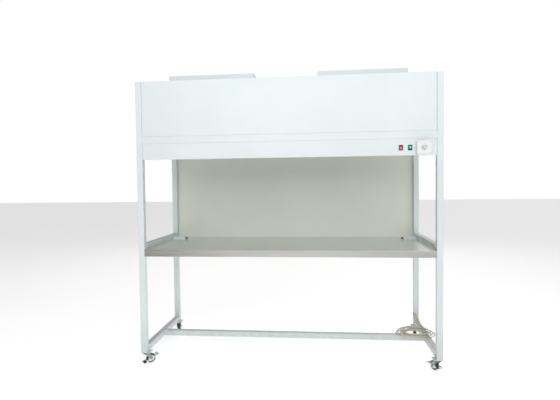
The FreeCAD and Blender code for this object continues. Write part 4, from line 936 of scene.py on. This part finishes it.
class CABINET_OT_lead(bpy.types.Operator):
    """Lays the mains lead on one smooth curve through its loose coil, with strain relief and plug."""

    bl_idname = "cabinet.lead"
    bl_label = "Lay the mains lead"

    def execute(self, context):
        route = LEAD_OUT + coil_points() + LEAD_BACK
        curve = bpy.data.curves.new("mains_lead_curve", "CURVE")
        curve.dimensions = "3D"
        spline = curve.splines.new("NURBS")
        spline.points.add(len(route) - 1)
        for point, place in zip(spline.points, route):
            point.co = (*place, 1.0)
        spline.order_u = 3
        spline.use_endpoint_u = True
        spline.resolution_u = 4
        curve.bevel_depth = details().lead_diameter / 2
        curve.bevel_resolution = 4
        curve.use_fill_caps = True
        lead = bpy.data.objects.new("mains_lead_sheath", curve)
        context.scene.collection.objects.link(lead)
        sheath = moulded("lead_sheath", colours().lead, 0.48, 0.1, 0.3)
        curve.materials.append(sheath)
        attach(lead, "frame")
        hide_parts("mains_lead", "lead_coil")
        relief = self.relief(moulded("gland_nylon", colours().gland, 0.38))
        plug, tip = self.plug()
        return {"FINISHED"}

    def plug(self):
        """The plug: a turned body with grip grooves, and three flat pins in a V on its brown face.

        At radius r, distance a and angle t, a point is start + a * heading + r * cos(t) * across
        + r * (1 - 0.12 * sin(t)^2) * sin(t) * upward.
        """
        start, heading = np.array(LEAD_BACK[-1]), np.array((-0.002, 0.031, 0.023))
        heading = heading / np.linalg.norm(heading)
        across = np.cross(heading, (0.0, 0.0, 1.0))
        across /= np.linalg.norm(across)
        upward = np.cross(across, heading)
        profile = np.array([
            (0.0, 0.0), (0.0046, 0.0), (0.0056, 0.0006), (0.0062, 0.004), (0.0075, 0.009), (0.0105, 0.014),
            (0.0130, 0.0185), (0.0131, 0.0195), (0.0122, 0.0200), (0.0122, 0.0215), (0.0132, 0.0220),
            (0.0133, 0.0230), (0.0124, 0.0235), (0.0124, 0.0250), (0.0134, 0.0255), (0.0135, 0.0265),
            (0.0126, 0.0270), (0.0126, 0.0285), (0.0137, 0.0290), (0.0149, 0.0320), (0.0150, 0.0375),
            (0.0147, 0.0384)])
        turn = np.linspace(0.0, 2.0 * np.pi, 80, endpoint=False)
        waist = 1.0 - 0.12 * np.abs(np.sin(turn)) ** 2

        def around(pairs):
            radius, along = pairs[:, :1], pairs[:, 1:]
            x, y = radius * np.cos(turn), radius * waist * np.sin(turn)
            return (start + along[..., None] * heading + x[..., None] * across + y[..., None] * upward)
        body = moulded("plug_moulding", colours().plug, 0.42)
        made = grid("plug_body", around(profile), body, "frame")
        face = np.array([(0.0147, 0.0384), (0.0144, 0.0390), (0.0136, 0.0396), (0.0122, 0.0400),
                         (0.0, 0.0400)])
        carrier = grid("plug_face", around(face), moulded("carrier_plastic", colours().plug_face, 0.36),
                       "frame")
        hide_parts("mains_plug")
        pins, sunk, half_width, half_thick = [], 0.0395, 0.0032, 0.0008
        steps = np.array([(0.0, 1.0), (0.0165, 1.0), (0.0178, 0.72)])
        corners = np.array([(-1.0, -1.0), (1.0, -1.0), (1.0, 1.0), (-1.0, 1.0)])
        for x, y, degrees in ((0.0, -7.5, 90.0), (-6.0, 4.0, 60.0), (6.0, 4.0, 120.0)):
            tilt = math.radians(degrees)
            along = half_width * (math.cos(tilt) * across + math.sin(tilt) * upward)
            thick = half_thick * (math.cos(tilt) * upward - math.sin(tilt) * across)
            root = start + sunk * heading + 0.001 * (x * across + y * upward)
            pins.append(root + steps[:, None, :1] * heading
                        + steps[:, None, 1:] * (corners[:, :1] * along + corners[:, 1:] * thick))
        blades = piece("plug_pins", np.array(pins).reshape(-1, 3), repeated(prism(3), 12, 3),
                       plated("pin_nickel", (0.62, 0.58, 0.50), -2.0, -1.0), "frame", 30.0)
        return made, [carrier, blades]

    def relief(self, sheath):
        """Strain relief: a nut of six rounded flats, then a cone cut by five grooves.

        At s from 0 to 1 along the cone the radius goes evenly from 0.82 of the nut's to 0.8 mm more than
        the lead's, less 0.9 mm where sin(10 pi s) > 0.2.
        """
        low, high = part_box("lead_gland")
        x, z = (low.x + high.x) / 2, (low.z + high.z) / 2
        depth = high.y - low.y
        root = details().relief_radius
        along = np.concatenate([[0.0, 0.0, 0.02], np.linspace(0.06, 0.30, 4), [0.34, 0.34],
                                np.linspace(0.36, 1.0, 60), [1.0]])
        lead_radius, wall, groove_depth, grooves = details().lead_diameter / 2, 0.0008, 0.0009, 5.0
        tip = lead_radius + wall
        run = (along - 0.34) / 0.66
        cone = root * 0.82 + (tip - root * 0.82) * np.clip(run, 0.0, 1.0)
        cut = (np.sin(run * 2.0 * np.pi * grooves) > 0.2) * (along > 0.38) * (along < 0.95)
        radius = np.where(along < 0.33, root, cone - groove_depth * cut)
        radius[0] = radius[-1] = lead_radius * 0.5
        turn = np.linspace(0.0, 2.0 * np.pi, 72, endpoint=False)
        flats = 1.0 / np.cos((turn + np.pi / 6) % (np.pi / 3) - np.pi / 6)
        hexagon = np.minimum(flats * 0.90, 1.0)
        shape = np.where((along < 0.33)[:, None], hexagon[None], 1.0)
        r = radius[:, None] * shape
        points = np.stack([x + r * np.cos(turn), high.y - depth * along[:, None] + 0.0 * turn,
                           z + r * np.sin(turn)], axis=-1)
        made = grid("lead_relief", points, sheath, "frame")
        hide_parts("lead_gland")
        return made


class CABINET_OT_stage(bpy.types.Operator):
    """Sets the floor, the sky, the soft lights and the camera."""

    bl_idname = "cabinet.stage"
    bl_label = "Set the studio"

    def execute(self, context):
        self.floor()
        self.sky(context)
        studio = context.scene.cabinet_studio
        self.soft_light("key_light", (-0.1, -4.2, 2.9), (0.0, 0.0, 1.0), (4.6, 2.2), studio.key)
        self.soft_light("fill_light", (3.4, -3.0, 1.4), (-0.4, 0.0, 1.0), (2.0, 2.0), studio.fill)
        self.soft_light("overhead_light", (0.0, -0.6, 4.4), (0.0, -0.2, 1.9), (5.0, 3.6), studio.overhead)
        self.soft_light("rear_light", (0.0, 4.6, 3.2), (0.0, 0.4, 0.6), (6.0, 3.0), studio.rear)
        self.camera(context, studio.lens)
        context.scene.view_settings.view_transform = "Standard"
        return {"FINISHED"}

    def floor(self):
        """A wide flat floor of pale board, lit a little from below."""
        def build(g, inputs):
            tone = g.noise(g.place(), 0.8, 3.0)
            g.feed(inputs["Base Color"], g.blend(tone, (0.91, 0.91, 0.91, 1.0), (0.94, 0.94, 0.94, 1.0)))
            g.feed(inputs["Roughness"], g.span(tone, 0.0, 1.0, 0.55, 0.7))
            inputs["Emission Color"].default_value = (1.0, 1.0, 1.0, 1.0)
            inputs["Emission Strength"].default_value = 0.49
        mesh = bpy.data.meshes.new("studio_floor")
        reach = 30.0
        mesh.from_pydata([(-reach, -reach, 0), (reach, -reach, 0), (reach, reach, 0), (-reach, reach, 0)],
                         [], [(0, 1, 2, 3)])
        mesh.materials.append(finish("studio_floor", build))
        made = bpy.data.objects.new("studio_floor", mesh)
        bpy.context.scene.collection.objects.link(made)

    def sky(self, context):
        """Soft light that falls off towards the left, behind it plain white."""
        world = bpy.data.worlds.new("studio_sky")
        world.use_nodes = True
        graph = Graph(world.node_tree)
        back = world.node_tree.nodes["Background"]
        seen = graph.add("ShaderNodeLightPath").outputs["Is Camera Ray"]
        back.inputs["Color"].default_value = (1.0, 1.0, 1.0, 1.0)
        sideways = graph.part(graph.add("ShaderNodeTexCoord").outputs["Generated"], "X")
        power = context.scene.cabinet_studio.sky
        side = graph.span(sideways, -0.50, 0.60, 0.10 * power, 1.12 * power)
        strength = graph.math("MAXIMUM", side, seen)
        graph.feed(back.inputs["Strength"], strength)
        context.scene.world = world

    def soft_light(self, name, place, target, size, power):
        """A rectangular soft light that looks at a point."""
        light = bpy.data.lights.new(name, "AREA")
        light.shape = "RECTANGLE"
        light.size, light.size_y = size
        light.energy = power
        made = bpy.data.objects.new(name, light)
        made.location = place
        made.rotation_euler = (Vector(target) - Vector(place)).to_track_quat("-Z", "Y").to_euler()
        bpy.context.scene.collection.objects.link(made)

    def camera(self, context, lens):
        """The camera in front, a little right of the middle, turned slightly to the left and down."""
        place, yaw, pitch, roll = (0.2281, FRONT_FACE - 2.798, 1.2129), -0.0941, 0.0344, -0.0114
        ahead = Vector((math.sin(yaw) * math.cos(pitch), math.cos(yaw) * math.cos(pitch), -math.sin(pitch)))
        right = Vector((math.cos(yaw), -math.sin(yaw), 0.0))
        up = right.cross(ahead)
        tilted_right = right * math.cos(roll) + up * math.sin(roll)
        tilted_up = up * math.cos(roll) - right * math.sin(roll)
        turn = Matrix((tilted_right, tilted_up, -ahead)).transposed()
        camera = bpy.data.cameras.new("view")
        camera.lens = lens
        camera.sensor_width = 36.0
        made = bpy.data.objects.new("view", camera)
        made.matrix_world = Matrix.Translation(place) @ turn.to_4x4()
        context.scene.collection.objects.link(made)
        context.scene.camera = made


OPERATORS = [CABINET_OT_stage, CABINET_OT_lead, CABINET_OT_frame, CABINET_OT_header, CABINET_OT_air,
             CABINET_OT_worktop, CABINET_OT_welds, CABINET_OT_screws, CABINET_OT_controls, CABINET_OT_casters]


class CABINET_PT_sidebar(bpy.types.Panel):
    """Lists the cabinet's settings and steps."""

    bl_idname = "CABINET_PT_sidebar"
    bl_label = "Laminar flow cabinet"
    bl_space_type = "VIEW_3D"
    bl_region_type = "UI"
    bl_category = "Cabinet"

    def draw(self, context):
        layout = self.layout
        for settings in (colours(), details(), context.scene.cabinet_studio):
            box = layout.box()
            for name in settings.__annotations__:
                box.prop(settings, name)
        for operator in OPERATORS:
            layout.operator(operator.bl_idname)


CLASSES = [CabinetFinish, CabinetDetail, CabinetStudio, *OPERATORS, CABINET_PT_sidebar]


def register():
    """Registers the classes and the scene's settings."""
    for item in CLASSES:
        bpy.utils.register_class(item)
    bpy.types.Scene.cabinet_finish = bpy.props.PointerProperty(type=CabinetFinish)
    bpy.types.Scene.cabinet_detail = bpy.props.PointerProperty(type=CabinetDetail)
    bpy.types.Scene.cabinet_studio = bpy.props.PointerProperty(type=CabinetStudio)


def unregister():
    """Takes the settings and the classes away again."""
    del bpy.types.Scene.cabinet_studio
    del bpy.types.Scene.cabinet_detail
    del bpy.types.Scene.cabinet_finish
    for item in reversed(CLASSES):
        bpy.utils.unregister_class(item)


def main():
    """Registers the add-on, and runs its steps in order."""
    register()
    for operator in OPERATORS:
        group, name = operator.bl_idname.split(".")
        getattr(getattr(bpy.ops, group), name)()


if __name__ == "__main__":
    main()
